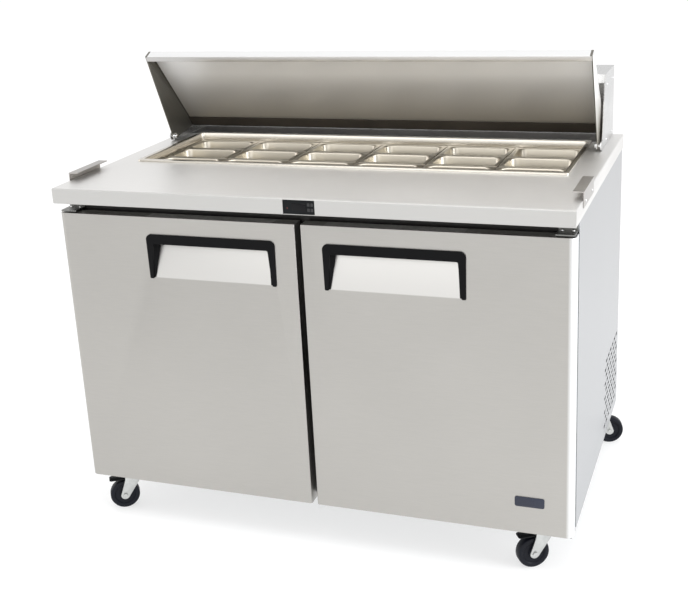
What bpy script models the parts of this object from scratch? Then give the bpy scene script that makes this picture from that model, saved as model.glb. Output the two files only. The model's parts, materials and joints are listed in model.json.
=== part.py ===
"""Sandwich prep table: a two-door refrigerated counter with a pan well, a hinged lid and a rear hood.

+X is the right-hand side, -Y is the front and +Z is up.  The origin is on the floor, under the centre.
Distances are metres; most places are given as a distance behind the worktop's front edge or above its top.
"""

import math

import bmesh
import bpy
from mathutils import Matrix, Vector

MM = 0.001
GAP = 0.3 * MM                      # clearance between pieces that touch
SHEET = 1.5 * MM                    # folded sheet steel

# Worktop
TOP_WIDTH = 1224 * MM
TOP_DEPTH = 762 * MM
TOP_HEIGHT = 862 * MM
FASCIA = 37 * MM
FRONT = -TOP_DEPTH / 2
UNDER_TOP = TOP_HEIGHT - FASCIA

# Cabinet
BODY_HALF = 609.5 * MM              # outside of the side panels
BODY_BOTTOM = 112 * MM
BODY_FRONT = 64 * MM                # behind the worktop's front edge
BODY_REAR = 760.2 * MM
CAVITY_HALF = 560 * MM
CAVITY_FLOOR = 160 * MM
CAVITY_TOP = 772 * MM
CAVITY_REAR = 712 * MM
MULLION_HALF = 36 * MM
MULLION_DEPTH = 40 * MM
BAY_FRONT = 502 * MM                # machine bay, below the rear of the cavity
BAY_TOP = 334 * MM
BAY_HALF = 597 * MM                 # to its closed left side; its right side opens to the vents
BAY_WALL = 40 * MM
SHELF_HEIGHT = 480 * MM

# Condenser fan
FAN_X = 520 * MM
FAN_BACK = 630 * MM
FAN_HEIGHT = 218 * MM
FAN_RADIUS = 78 * MM

# Temperature controller
CONTROLLER_LOW = (-23.5 * MM, FRONT + 0.3 * MM, TOP_HEIGHT - 34.5 * MM)
CONTROLLER_HIGH = (50.5 * MM, FRONT + 28 * MM, TOP_HEIGHT - 3 * MM)

# Doors
DOOR_FRONT = 16 * MM
DOOR_SHELL = 36 * MM
DOOR_BACK = 56 * MM
DOOR_INNER_X = 7 * MM
DOOR_OUTER_X = 609 * MM
DOOR_BOTTOM = 109 * MM
DOOR_TOP = 799 * MM
DOOR_CAP = 3 * MM
HINGE_X = 592 * MM
HINGE_BACK = 36 * MM
PIN_RADIUS = 4 * MM
BORE_RADIUS = 5 * MM

# Door handle, measured from the centre line of the table
HANDLE_NEAR = 57 * MM
HANDLE_FAR = 380 * MM
HANDLE_TOP = 758.5 * MM
HANDLE_BOTTOM = 656 * MM
POCKET_DEPTH = 30 * MM

# Pan well and pans
WELL_HALF = 536 * MM
WELL_NEAR = 308 * MM
WELL_FAR = 640 * MM
RIM_HEIGHT = 5 * MM
PAN_COLUMNS = 6
PAN_ROWS = 3
PAN_PITCH_X = 2 * WELL_HALF / PAN_COLUMNS
PAN_PITCH_Y = 108 * MM
PAN_LENGTH = 176 * MM
PAN_WIDTH = 107.4 * MM
PAN_DEPTH = 100 * MM
PAN_TOP = TOP_HEIGHT - 15 * MM
PAN_SHEET = 1 * MM
LEDGE_TOP = PAN_TOP - PAN_SHEET - GAP
LEDGE_BOTTOM = LEDGE_TOP - 12 * MM

# Hood and lid
HOOD_HALF = 585 * MM
HOOD_HEIGHT = 178 * MM
LID_HALF = 577 * MM
LID_SHEET = 1.8 * MM
LID_AXIS_BACK = 550 * MM
LID_AXIS_HEIGHT = 13 * MM
LID_OPEN = math.radians(65)

# Casters
WHEEL_RADIUS = 37.5 * MM
WHEEL_HALF = 12 * MM
WHEEL_SIDES = 24
CASTER_TRAIL = 24 * MM
FORK_INNER = 14.5 * MM
FORK_SHEET = 2.5 * MM
HEAD_RADIUS = 27 * MM
HEAD_BOTTOM = 92.5 * MM
HEAD_TOP = 104.7 * MM
CASTERS = {                         # swivel axis and the heading that the wheel trails towards, in degrees
    "front_left": (-531 * MM, 76 * MM, 213),
    "front_right": (531 * MM, 76 * MM, 213),
    "rear_left": (-572 * MM, 727 * MM, 165),
    "rear_right": (572 * MM, 727 * MM, 15),
}
BRAKE_AXIS = 4 * MM                 # behind the swivel axis
BRAKE_HEIGHT = 81.5 * MM

COLOURS = {                         # colour, metallic, roughness
    "stainless": ((0.56, 0.55, 0.53), 1.0, 0.32),
    "polished": ((0.68, 0.66, 0.63), 1.0, 0.16),
    "galvanised": ((0.48, 0.50, 0.51), 0.9, 0.45),
    "zinc": ((0.62, 0.62, 0.60), 1.0, 0.30),
    "liner": ((0.74, 0.74, 0.72), 0.3, 0.50),
    "black_plastic": ((0.012, 0.012, 0.013), 0.0, 0.38),
    "gasket_rubber": ((0.03, 0.03, 0.03), 0.0, 0.70),
    "wheel_rubber": ((0.010, 0.012, 0.018), 0.0, 0.55),
    "coated_wire": ((0.70, 0.70, 0.68), 0.0, 0.40),
    "compressor": ((0.02, 0.02, 0.02), 0.2, 0.45),
}

ROUND = 16                          # sides of a small round piece


def back(distance):
    """Y of a point `distance` behind the worktop's front edge."""
    return FRONT + distance


def above(height):
    """Z of a point `height` above the worktop."""
    return TOP_HEIGHT + height


# ---------------------------------------------------------------- scene and materials

def clear_scene():
    for obj in list(bpy.data.objects):
        bpy.data.objects.remove(obj, do_unlink=True)


def new_collection(name):
    collection = bpy.data.collections.new(name)
    bpy.context.scene.collection.children.link(collection)
    return collection


def paint(obj, finish):
    """Give a piece a material of its own, with the finish's colour, metallic value and roughness."""
    colour, metallic, roughness = COLOURS[finish]
    material = bpy.data.materials.new(obj.name)
    material.use_nodes = True
    shader = material.node_tree.nodes["Principled BSDF"]
    shader.inputs["Base Color"].default_value = (*colour, 1.0)
    shader.inputs["Metallic"].default_value = metallic
    shader.inputs["Roughness"].default_value = roughness
    obj.data.materials.clear()
    obj.data.materials.append(material)


# ---------------------------------------------------------------- basic shapes

def add_object(name, bm, origin=(0, 0, 0)):
    """Make an object of a mesh drawn in world coordinates, with its own origin at `origin`."""
    bmesh.ops.recalc_face_normals(bm, faces=bm.faces)
    bm.transform(Matrix.Translation(-Vector(origin)))
    mesh = bpy.data.meshes.new(name)
    bm.to_mesh(mesh)
    bm.free()
    obj = bpy.data.objects.new(name, mesh)
    obj.location = origin
    PARTS.objects.link(obj)
    return obj


def add_cube(bm, low, high):
    size = Vector(high) - Vector(low)
    middle = (Vector(high) + Vector(low)) / 2
    matrix = Matrix.Translation(middle) @ Matrix.Diagonal((*size, 1.0))
    return bmesh.ops.create_cube(bm, size=1.0, matrix=matrix)["verts"]


def box(name, low, high, origin=(0, 0, 0)):
    bm = bmesh.new()
    add_cube(bm, low, high)
    return add_object(name, bm, origin)


def boxes(name, corners):
    """Several boxes that don't meet, in one object."""
    bm = bmesh.new()
    for low, high in corners:
        add_cube(bm, low, high)
    return add_object(name, bm)


def between(side, near, far):
    """The X range from `near` to `far` out from the centre line, on one side."""
    return sorted((side * near, side * far))


def turn_to(axis):
    """The turn that takes +Z to an axis."""
    turns = {"X": Matrix.Rotation(math.pi / 2, 4, "Y"), "Y": Matrix.Rotation(-math.pi / 2, 4, "X")}
    return turns.get(axis, Matrix.Identity(4))


def cylinder(name, radius, start, end, axis="Z", sides=ROUND, origin=(0, 0, 0), end_radius=None):
    """A cylinder or cone between two points on a line along an axis."""
    start, end = Vector(start), Vector(end)
    bm = bmesh.new()
    matrix = Matrix.Translation((start + end) / 2) @ turn_to(axis)
    bmesh.ops.create_cone(bm, cap_ends=True, segments=sides, radius1=radius,
                          radius2=radius if end_radius is None else end_radius,
                          depth=(end - start).length, matrix=matrix)
    obj = add_object(name, bm, origin)
    shade_round(obj)
    return obj


def shade_round(obj):
    obj.data.shade_smooth()
    obj.data.set_sharp_from_angle(angle=math.radians(35))


def arc(centre, radius, start, end, steps):
    """Points on an arc, with its angles in degrees."""
    angles = [math.radians(start + (end - start) * i / steps) for i in range(steps + 1)]
    return [(centre[0] + radius * math.cos(a), centre[1] + radius * math.sin(a)) for a in angles]


def outline(name, points, low, high, axis="Z", origin=(0, 0, 0)):
    """A flat outline with thickness: (x, y) points along Z, (x, z) points along Y, or (y, z) points along X."""
    curve = bpy.data.curves.new(name, "CURVE")
    curve.dimensions = "2D"
    curve.fill_mode = "BOTH"
    curve.extrude = abs(high - low) / 2
    spline = curve.splines.new("POLY")
    spline.points.add(len(points) - 1)
    for point, (u, v) in zip(spline.points, points):
        point.co = (u, v, 0, 1)
    spline.use_cyclic_u = True
    guide = bpy.data.objects.new(name, curve)
    bpy.context.scene.collection.objects.link(guide)
    evaluated = guide.evaluated_get(bpy.context.evaluated_depsgraph_get())
    mesh = bpy.data.meshes.new_from_object(evaluated)
    bpy.data.objects.remove(guide, do_unlink=True)
    stand = {"Z": Matrix.Identity(4),
             "Y": Matrix(((1, 0, 0, 0), (0, 0, -1, 0), (0, 1, 0, 0), (0, 0, 0, 1))),
             "X": Matrix(((0, 0, 1, 0), (1, 0, 0, 0), (0, 1, 0, 0), (0, 0, 0, 1)))}[axis]
    shift = Vector([(low + high) / 2 if letter == axis else 0 for letter in "XYZ"])
    bm = bmesh.new()
    bm.from_mesh(mesh)
    bpy.data.meshes.remove(mesh)
    bmesh.ops.remove_doubles(bm, verts=bm.verts, dist=0.00001)
    bm.transform(Matrix.Translation(shift) @ stand)
    return add_object(name, bm, origin)


# ---------------------------------------------------------------- modifiers

def hide_tool(tool):
    PARTS.objects.unlink(tool)
    TOOLS.objects.link(tool)
    tool.hide_render = True
    tool.display_type = "WIRE"


def combine(obj, tool, operation):
    modifier = obj.modifiers.new(operation.lower(), "BOOLEAN")
    modifier.operation = operation
    modifier.object = tool
    hide_tool(tool)


def cut(obj, *tools):
    for tool in tools:
        combine(obj, tool, "DIFFERENCE")


def fuse(obj, *tools):
    for tool in tools:
        combine(obj, tool, "UNION")


def bevel(obj, width, segments=2, angle=30):
    modifier = obj.modifiers.new("bevel", "BEVEL")
    modifier.width = width
    modifier.segments = segments
    modifier.limit_method = "ANGLE"
    modifier.angle_limit = math.radians(angle)


def solidify(obj, thickness):
    modifier = obj.modifiers.new("solidify", "SOLIDIFY")
    modifier.thickness = thickness
    modifier.offset = -1
    modifier.use_even_offset = True


# ---------------------------------------------------------------- cabinet

def side_panel(side, name):
    """A side sheet with a return at its front and rear edges."""
    front_return = 12 * MM
    rear_return = 20 * MM
    near, far = back(BODY_FRONT), back(BODY_REAR)
    section = [(BODY_HALF, near), (BODY_HALF, far), (BODY_HALF - rear_return, far),
               (BODY_HALF - rear_return, far - SHEET), (BODY_HALF - SHEET, far - SHEET),
               (BODY_HALF - SHEET, near + SHEET), (BODY_HALF - front_return, near + SHEET),
               (BODY_HALF - front_return, near)]
    panel = outline(name, [(side * x, y) for x, y in section], BODY_BOTTOM + SHEET + GAP, UNDER_TOP - GAP)
    paint(panel, "stainless")
    return panel


def side_vents():
    """Staggered rows of slots that let air into the machine bay through the right side panel."""
    rows, row_pitch, slot_pitch = 10, 19.5 * MM, 38 * MM
    length, height = 25 * MM, 4.6 * MM
    start, stop, lowest = 510 * MM, 752 * MM, 144 * MM
    slots = []
    for row in range(rows):
        y = start + (row % 2) * slot_pitch / 2
        z = lowest + row * row_pitch
        while y + length <= stop:
            low = (BODY_HALF - 3 * MM, back(y), z)
            slots.append((low, (BODY_HALF + 2 * MM, back(y + length), z + height)))
            y += slot_pitch
    return boxes("side_vent_slots", slots)


def cabinet_liner():
    """The insulated body: a cavity behind two door openings, stepped up over the machine bay."""
    inner = BODY_HALF - SHEET - GAP
    low, high = BODY_BOTTOM + SHEET + GAP, UNDER_TOP - GAP
    liner = box("cabinet_liner", (-inner, back(BODY_FRONT), low), (inner, back(BODY_REAR - SHEET - GAP), high))
    notch = 12.3 * MM
    corners = boxes("liner_corner_notches", [
        ((between(side, BODY_HALF - notch, BODY_HALF + notch)[0], back(BODY_FRONT - notch), low - notch),
         (between(side, BODY_HALF - notch, BODY_HALF + notch)[1], back(BODY_FRONT + SHEET + GAP), high + notch))
        for side in (-1, 1)])
    step = 21 * MM
    rear_notches = boxes("liner_rear_notches", [
        ((between(side, BODY_HALF - step, BODY_HALF + step)[0], back(BODY_REAR - 2.2 * MM), low - step),
         (between(side, BODY_HALF - step, BODY_HALF + step)[1], back(BODY_REAR + step), high + step))
        for side in (-1, 1)])
    throat = BODY_FRONT + MULLION_DEPTH
    openings = boxes("door_openings", [
        ((between(side, MULLION_HALF, CAVITY_HALF)[0], back(BODY_FRONT - 10 * MM), CAVITY_FLOOR),
         (between(side, MULLION_HALF, CAVITY_HALF)[1], back(throat + 10 * MM), CAVITY_TOP))
        for side in (-1, 1)])
    step_back = BAY_FRONT - BAY_WALL
    lower = box("lower_cavity", (-CAVITY_HALF, back(throat), CAVITY_FLOOR),
                (CAVITY_HALF, back(step_back), CAVITY_TOP))
    upper = box("upper_cavity", (-CAVITY_HALF, back(step_back - 20 * MM), BAY_TOP + BAY_WALL),
                (CAVITY_HALF, back(CAVITY_REAR), CAVITY_TOP))
    bay = box("machine_bay", (-BAY_HALF, back(BAY_FRONT), low - 10 * MM),
              (BODY_HALF + 10 * MM, back(BODY_REAR + 10 * MM), BAY_TOP))
    well = box("well_opening", (-WELL_HALF - 9 * MM, back(WELL_NEAR - 8 * MM), CAVITY_TOP - 10 * MM),
               (WELL_HALF + 9 * MM, back(WELL_FAR + 8 * MM), UNDER_TOP + 10 * MM))
    cut(liner, corners, rear_notches, openings, lower, upper, bay, well)
    rail_top, rail_height = SHELF_HEIGHT - GAP, 22 * MM
    centre_rail = box("centre_shelf_rail", (-8 * MM, back(throat - 5 * MM), rail_top - rail_height),
                      (8 * MM, back(CAVITY_REAR + 5 * MM), rail_top))
    side_rails = boxes("side_shelf_rails", [
        ((between(side, CAVITY_HALF - 10 * MM, CAVITY_HALF + 5 * MM)[0], back(130 * MM), rail_top - rail_height / 2),
         (between(side, CAVITY_HALF - 10 * MM, CAVITY_HALF + 5 * MM)[1], back(620 * MM), rail_top))
        for side in (-1, 1)])
    fuse(liner, centre_rail, side_rails)
    paint(liner, "liner")


def shelf(side, name):
    """A wire shelf drawn as a flat grid, resting on the liner's rails."""
    near, far = between(side, 2 * MM, CAVITY_HALF - 3 * MM)
    front, rear = 125 * MM, 615 * MM
    border, bars, thickness = 8 * MM, 12, 6 * MM
    rack = box(name, (near, back(front), SHELF_HEIGHT), (far, back(rear), SHELF_HEIGHT + thickness))
    bar = 5 * MM
    pitch = (far - near - 2 * border + bar) / bars
    gaps = [((near + border + i * pitch, back(front + border), SHELF_HEIGHT - thickness),
             (near + border + (i + 1) * pitch - bar, back(rear - border), SHELF_HEIGHT + 2 * thickness))
            for i in range(bars)]
    cut(rack, boxes(name + "_gaps", gaps))
    paint(rack, "coated_wire")


def chassis():
    """The galvanised base sheet with the rear sheet folded up from it, open to the machine bay by louvres."""
    rear = 760.5 * MM
    base = box("chassis", (-BODY_HALF, back(BODY_FRONT), BODY_BOTTOM),
               (BODY_HALF, back(rear + SHEET), BODY_BOTTOM + SHEET))
    sheet = box("rear_sheet", (-BODY_HALF, back(rear), BODY_BOTTOM), (BODY_HALF, back(rear + SHEET), UNDER_TOP - GAP))
    fuse(base, sheet)
    columns, rows = 8, 7
    pitch_x, pitch_z = 130 * MM, 24 * MM
    louvres = []
    for column in range(columns):
        x = (column - (columns - 1) / 2) * pitch_x
        for row in range(rows):
            z = 150 * MM + row * pitch_z
            louvres.append(((x - 50 * MM, back(rear - 5 * MM), z), (x + 50 * MM, back(rear + 5 * MM), z + 7 * MM)))
    cut(base, boxes("rear_louvres", louvres))
    paint(base, "galvanised")


# ---------------------------------------------------------------- worktop, well and pans

def worktop():
    """The foam-backed top with its folded fascia, open for the pan well and the controller."""
    top = box("worktop", (-TOP_WIDTH / 2, FRONT, UNDER_TOP), (TOP_WIDTH / 2, -FRONT, TOP_HEIGHT))
    bevel(top, 2.5 * MM, segments=2)
    opening = box("worktop_well_opening", (-WELL_HALF - 7 * MM, back(WELL_NEAR - 6 * MM), UNDER_TOP - 10 * MM),
                  (WELL_HALF + 7 * MM, back(WELL_FAR + 6 * MM), TOP_HEIGHT + 10 * MM))
    low, high = CONTROLLER_LOW, CONTROLLER_HIGH
    pocket = box("controller_pocket", (low[0] - GAP, FRONT - 5 * MM, low[2] - GAP),
                 (high[0] + GAP, high[1] + GAP, high[2] + GAP))
    cut(top, opening, pocket)
    paint(top, "stainless")


def controller():
    """The temperature controller set into the front fascia."""
    body = box("controller", CONTROLLER_LOW, CONTROLLER_HIGH)
    bevel(body, 0.8 * MM, segments=1)
    paint(body, "black_plastic")


def board_bracket(side, name):
    """A bent clip on the worktop's side edge that holds the end of a cutting board."""
    outside, sheet = TOP_WIDTH / 2 + GAP, 1.8 * MM
    reach, low, high = 22 * MM, -17 * MM, 18 * MM
    section = [(outside, above(low)), (outside + sheet, above(low)), (outside + sheet, above(high)),
               (outside - reach, above(high)), (outside - reach, above(high) - sheet), (outside, above(high) - sheet)]
    clip = outline(name, [(side * x, z) for x, z in section], back(82 * MM), back(220 * MM), axis="Y")
    paint(clip, "stainless")


def pan_well():
    """The raised rim and walls round the pans, with ledges and bars that carry the pans' rims."""
    wall = 2 * MM
    bottom = 778 * MM
    rim_low = above(GAP)
    rim_high = above(RIM_HEIGHT)
    well = box("pan_well", (-548 * MM, back(292 * MM), rim_low), (548 * MM, back(656 * MM), rim_high))
    bevel(well, 1.2 * MM, segments=1)
    walls = box("well_walls", (-WELL_HALF - wall, back(WELL_NEAR - wall), bottom),
                (WELL_HALF + wall, back(WELL_FAR + wall), rim_high - wall))
    fuse(well, walls)
    above_ledge = box("well_above_ledge", (-WELL_HALF, back(WELL_NEAR), LEDGE_TOP),
                      (WELL_HALF, back(WELL_FAR), rim_high + 10 * MM))
    below_ledge = box("well_below_ledge", (-WELL_HALF, back(WELL_NEAR), bottom - 10 * MM),
                      (WELL_HALF, back(WELL_FAR), LEDGE_BOTTOM))
    bar_half, ledge = 5.5 * MM, 7 * MM
    holes = []
    for column in range(PAN_COLUMNS):
        x = -WELL_HALF + column * PAN_PITCH_X
        holes.append(((x + bar_half, back(WELL_NEAR + ledge), LEDGE_BOTTOM - 5 * MM),
                      (x + PAN_PITCH_X - bar_half, back(WELL_FAR - ledge), LEDGE_TOP + 5 * MM)))
    cut(well, above_ledge, below_ledge, boxes("well_column_openings", holes))
    paint(well, "polished")


def rounded_ring(half_x, half_y, radius, z, steps=3):
    """A rounded rectangle as a closed loop of points, anticlockwise from its right-hand side."""
    ring = []
    for corner, (sx, sy) in enumerate(((1, 1), (-1, 1), (-1, -1), (1, -1))):
        centre = (sx * (half_x - radius), sy * (half_y - radius))
        ring += [(x, y, z) for x, y in arc(centre, radius, 90 * corner, 90 * corner + 90, steps)]
    return ring


def pan_mesh():
    """A ninth-size pan as a surface: a flat rim, tapered walls and a floor, drawn down from its rim's top."""
    rings = [rounded_ring(PAN_LENGTH / 2, PAN_WIDTH / 2, 8 * MM, 0),
             rounded_ring(PAN_LENGTH / 2 - 9 * MM, PAN_WIDTH / 2 - 9 * MM, 20 * MM, 0),
             rounded_ring(PAN_LENGTH / 2 - 18 * MM, PAN_WIDTH / 2 - 18 * MM, 16 * MM, -PAN_DEPTH + PAN_SHEET)]
    bm = bmesh.new()
    loops = [[bm.verts.new(point) for point in ring] for ring in rings]
    for outer, inner in zip(loops, loops[1:]):
        for i in range(len(outer)):
            j = (i + 1) % len(outer)
            bm.faces.new((outer[i], outer[j], inner[j], inner[i]))
    bm.faces.new(loops[-1])
    bmesh.ops.recalc_face_normals(bm, faces=bm.faces)
    if sum(face.normal.z for face in bm.faces) < 0:
        bmesh.ops.reverse_faces(bm, faces=bm.faces)
    mesh = bpy.data.meshes.new("ninth_size_pan")
    bm.to_mesh(mesh)
    bm.free()
    return mesh


def pans():
    shape = pan_mesh()
    for row, place in enumerate(("front", "middle", "rear")):
        for column in range(PAN_COLUMNS):
            pan = bpy.data.objects.new(f"{place}_pan_{column + 1}", shape.copy())
            PARTS.objects.link(pan)
            x = -WELL_HALF + (column + 0.5) * PAN_PITCH_X
            y = back((WELL_NEAR + WELL_FAR) / 2 + (row - (PAN_ROWS - 1) / 2) * PAN_PITCH_Y)
            pan.location = (x, y, PAN_TOP)
            solidify(pan, PAN_SHEET)
            shade_round(pan)
            paint(pan, "polished")


# ---------------------------------------------------------------- hood and lid

def folded_shell(name, profile, half_width, open_edges, thickness, origin):
    """A folded cover: a (y, z) profile between two side faces, with the faces along `open_edges` left out."""
    bm = bmesh.new()
    sides = [[bm.verts.new((x, y, z)) for y, z in profile] for x in (-half_width, half_width)]
    for side in sides:
        bm.faces.new(side)
    count = len(profile)
    for i in range(count):
        if i not in open_edges:
            j = (i + 1) % count
            bm.faces.new((sides[0][i], sides[0][j], sides[1][j], sides[1][i]))
    cover = add_object(name, bm, origin)
    solidify(cover, thickness)
    return cover


def rear_hood():
    """The fixed cover behind the lid, with a lug and a pin on each side for the lid to swing on."""
    bottom = above(GAP)
    slope = 38 * MM / HOOD_HEIGHT
    lip = HOOD_HEIGHT - 20 * MM
    profile = [(back(562 * MM), bottom), (back(562 * MM + slope * lip), above(lip)),
               (back(600 * MM), above(HOOD_HEIGHT)), (back(760 * MM), above(HOOD_HEIGHT)), (back(760 * MM), bottom)]
    hood = folded_shell("rear_hood", profile, HOOD_HALF, open_edges=(0, 4), thickness=SHEET, origin=(0, 0, 0))
    axis_y, axis_z = back(LID_AXIS_BACK), above(LID_AXIS_HEIGHT)
    for side, word in ((-1, "left"), (1, "right")):
        plate_low, plate_high = between(side, HOOD_HALF - 2.5 * MM, HOOD_HALF - 0.2 * MM)
        lug_outline = arc((axis_y, axis_z), 11 * MM, 90, 270, 8)
        lug_outline += [(back(572 * MM), axis_z - 11 * MM), (back(572 * MM), axis_z + 11 * MM)]
        lug = outline(word + "_lug", lug_outline, plate_low, plate_high, axis="X")
        pin_x = between(side, 571 * MM, HOOD_HALF - 1 * MM)
        pin = cylinder(word + "_lid_pin", PIN_RADIUS, (pin_x[0], axis_y, axis_z), (pin_x[1], axis_y, axis_z), "X")
        fuse(hood, lug, pin)
    paint(hood, "stainless")


def lid_cover():
    """The lid, drawn shut about its hinge axis and then swung open."""
    axis = (0, back(LID_AXIS_BACK), above(LID_AXIS_HEIGHT))
    lug = 9 * MM
    low = above(6.5 * MM)
    profile = [(back(302 * MM), low), (back(290 * MM), low), (back(290 * MM), above(31 * MM)),
               (back(550 * MM), above(110 * MM)), (back(588 * MM), above(120 * MM))]
    profile += arc((axis[1], axis[2]), lug, 15, -70, 5)
    open_edges = range(4, len(profile))
    lid = folded_shell("lid_cover", profile, LID_HALF, open_edges, LID_SHEET, axis)
    bore = cylinder("lid_pin_bore", PIN_RADIUS + 0.7 * MM, (-TOP_WIDTH, axis[1], axis[2]),
                    (TOP_WIDTH, axis[1], axis[2]), "X")
    bore.location = (0, 0, 0)
    cut(lid, bore)
    bore.parent = lid
    bore.matrix_parent_inverse = Matrix.Translation(-Vector(axis))
    lid.rotation_euler.x = -LID_OPEN
    paint(lid, "polished")


# ---------------------------------------------------------------- doors

def door_outline(side, inset, depth):
    """Plan of a door: a large radius on its outer front edge and a small one on its inner front edge."""
    near, far = DOOR_INNER_X + inset, DOOR_OUTER_X - inset
    front = back(DOOR_FRONT) + inset
    outer, inner = 14 * MM - inset, 3 * MM - inset
    points = [(near, back(DOOR_FRONT) + depth)]
    points += arc((near + inner, front + inner), inner, 180, 270, 2)
    points += arc((far - outer, front + outer), outer, 270, 360, 6)
    points.append((far, back(DOOR_FRONT) + depth))
    return [(side * x, y) for x, y in points]


def pocket_profile(inset=0.0):
    """The handle pocket's section: a floor that slopes in from the door's face, under a level roof."""
    slope = (HANDLE_TOP - 8 * MM - HANDLE_BOTTOM) / POCKET_DEPTH
    front = back(DOOR_FRONT)
    reach = POCKET_DEPTH - inset
    roof = HANDLE_BOTTOM + slope * POCKET_DEPTH - inset
    lead = 2 * MM
    return [(front - lead, HANDLE_BOTTOM - slope * (lead - inset)), (front + reach - inset / 2, roof),
            (front - lead, roof)]


def hinge_bores(side, hinge):
    """Bores for the hinge pins in the door's top and bottom ends."""
    tools = []
    for end, (low, high) in enumerate(((DOOR_BOTTOM - 5 * MM, DOOR_BOTTOM + 20 * MM),
                                       (DOOR_TOP - 20 * MM, DOOR_TOP + 5 * MM))):
        tools.append(cylinder(f"hinge_bore_{side}_{end}", BORE_RADIUS, (hinge[0], hinge[1], low),
                              (hinge[0], hinge[1], high)))
    return tools


def door(side, name):
    hinge = (side * HINGE_X, back(HINGE_BACK), 0)
    door_shell(side, name, hinge)
    door_liner(side, name, hinge)
    door_gasket(side, name, hinge)
    door_handle(side, name, hinge)


def door_shell(side, name, hinge):
    """The foamed stainless shell, recessed at both ends for the plastic caps and in front for the handle."""
    shell = outline(name + "_shell", door_outline(side, 0, DOOR_SHELL), DOOR_BOTTOM, DOOR_TOP, origin=hinge)
    recess = 1.2 * MM
    depth = DOOR_SHELL + 5 * MM
    top = outline(name + "_top_recess", door_outline(side, recess, depth), DOOR_TOP - DOOR_CAP, DOOR_TOP + DOOR_CAP)
    bottom = outline(name + "_bottom_recess", door_outline(side, recess, depth),
                     DOOR_BOTTOM - DOOR_CAP, DOOR_BOTTOM + DOOR_CAP)
    wall = 4 * MM
    pocket_x = between(side, HANDLE_NEAR + wall, HANDLE_FAR - wall)
    pocket = outline(name + "_pocket", pocket_profile(), *pocket_x, axis="X")
    cut(shell, top, bottom, pocket, *hinge_bores(side, hinge))
    paint(shell, "stainless")


def door_liner(side, name, hinge):
    """The plastic back of the door with its end caps and raised inner panel."""
    inset = 1.5 * MM
    near, far = between(side, DOOR_INNER_X, DOOR_OUTER_X)
    liner = box(name + "_liner", (near, back(DOOR_FRONT) + DOOR_SHELL + GAP, DOOR_BOTTOM),
                (far, back(DOOR_BACK), DOOR_TOP), origin=hinge)
    depth = DOOR_SHELL + 2 * MM
    cap = DOOR_CAP - GAP
    top = outline(name + "_top_cap", door_outline(side, inset, depth), DOOR_TOP - cap, DOOR_TOP)
    bottom = outline(name + "_bottom_cap", door_outline(side, inset, depth), DOOR_BOTTOM, DOOR_BOTTOM + cap)
    panel_x = between(side, 46 * MM, 548 * MM)
    panel = box(name + "_inner_panel", (panel_x[0], back(DOOR_BACK - 2 * MM), 172 * MM),
                (panel_x[1], back(DOOR_BACK + 13 * MM), 760 * MM))
    bevel(panel, 4 * MM, segments=2)
    fuse(liner, top, bottom, panel)
    cut(liner, *hinge_bores(side, hinge))
    paint(liner, "black_plastic")


def door_gasket(side, name, hinge):
    """The magnetic gasket, a ring between the door's back and the cabinet's face."""
    low, high = back(DOOR_BACK) + GAP, back(BODY_FRONT) - GAP
    x = between(side, 18 * MM, 589 * MM)
    width = 17 * MM
    bottom, top = 122 * MM, 791 * MM
    ring = box(name + "_gasket", (x[0], low, bottom), (x[1], high, top), origin=hinge)
    middle = box(name + "_gasket_opening", (x[0] + width, low - 5 * MM, bottom + width),
                 (x[1] - width, high + 5 * MM, top - width))
    cut(ring, middle)
    paint(ring, "gasket_rubber")


def handle_outline(side):
    """The handle's face: a bar with round outer corners and two legs that narrow downwards."""
    corner, bar = 13 * MM, 22 * MM
    leg_top, leg_bottom, foot, lean = 17 * MM, 11 * MM, 3 * MM, 1 * MM
    near, far = HANDLE_NEAR, HANDLE_FAR
    top, bottom = HANDLE_TOP, HANDLE_BOTTOM
    points = arc((near + lean + foot, bottom + foot), foot, 270, 180, 2)
    points += arc((near + corner, top - corner), corner, 180, 90, 5)
    points += arc((far - corner, top - corner), corner, 90, 0, 5)
    points += arc((far - lean - foot, bottom + foot), foot, 0, -90, 2)
    points += arc((far - leg_bottom + foot, bottom + foot), foot, 270, 180, 2)
    points += [(far - leg_top, top - bar), (near + leg_top, top - bar)]
    points += arc((near + leg_bottom - foot, bottom + foot), foot, 0, -90, 2)
    return [(side * x, z) for x, z in points]


def door_handle(side, name, hinge):
    """The black frame over the pocket, with the cheeks and roof that line it."""
    front = back(DOOR_FRONT)
    wall = 4 * MM + GAP
    handle = outline(name + "_handle", handle_outline(side), front - 3 * MM, front - GAP, axis="Y", origin=hinge)
    x = between(side, HANDLE_NEAR + wall, HANDLE_FAR - wall)
    lining = outline(name + "_pocket_lining", pocket_profile(inset=0.4 * MM), *x, axis="X")
    bm = bmesh.new()
    draft = 11 * MM
    verts = add_cube(bm, (x[0] + 10 * MM, front - 10 * MM, HANDLE_BOTTOM - 20 * MM),
                     (x[1] - 10 * MM, front + POCKET_DEPTH + 3 * MM, HANDLE_TOP - 12 * MM))
    middle = (x[0] + x[1]) / 2
    for vert in verts:
        if vert.co.y > front:
            vert.co.x += draft if vert.co.x < middle else -draft
    fingers = add_object(name + "_finger_space", bm)
    combine(lining, fingers, "DIFFERENCE")
    bar = box(name + "_handle_bar", (x[0] + 2 * MM, front - 2 * MM, HANDLE_TOP - 22 * MM),
              (x[1] - 2 * MM, front + 4 * MM, HANDLE_TOP - 10 * MM))
    fuse(handle, lining, bar)
    paint(handle, "black_plastic")


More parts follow.
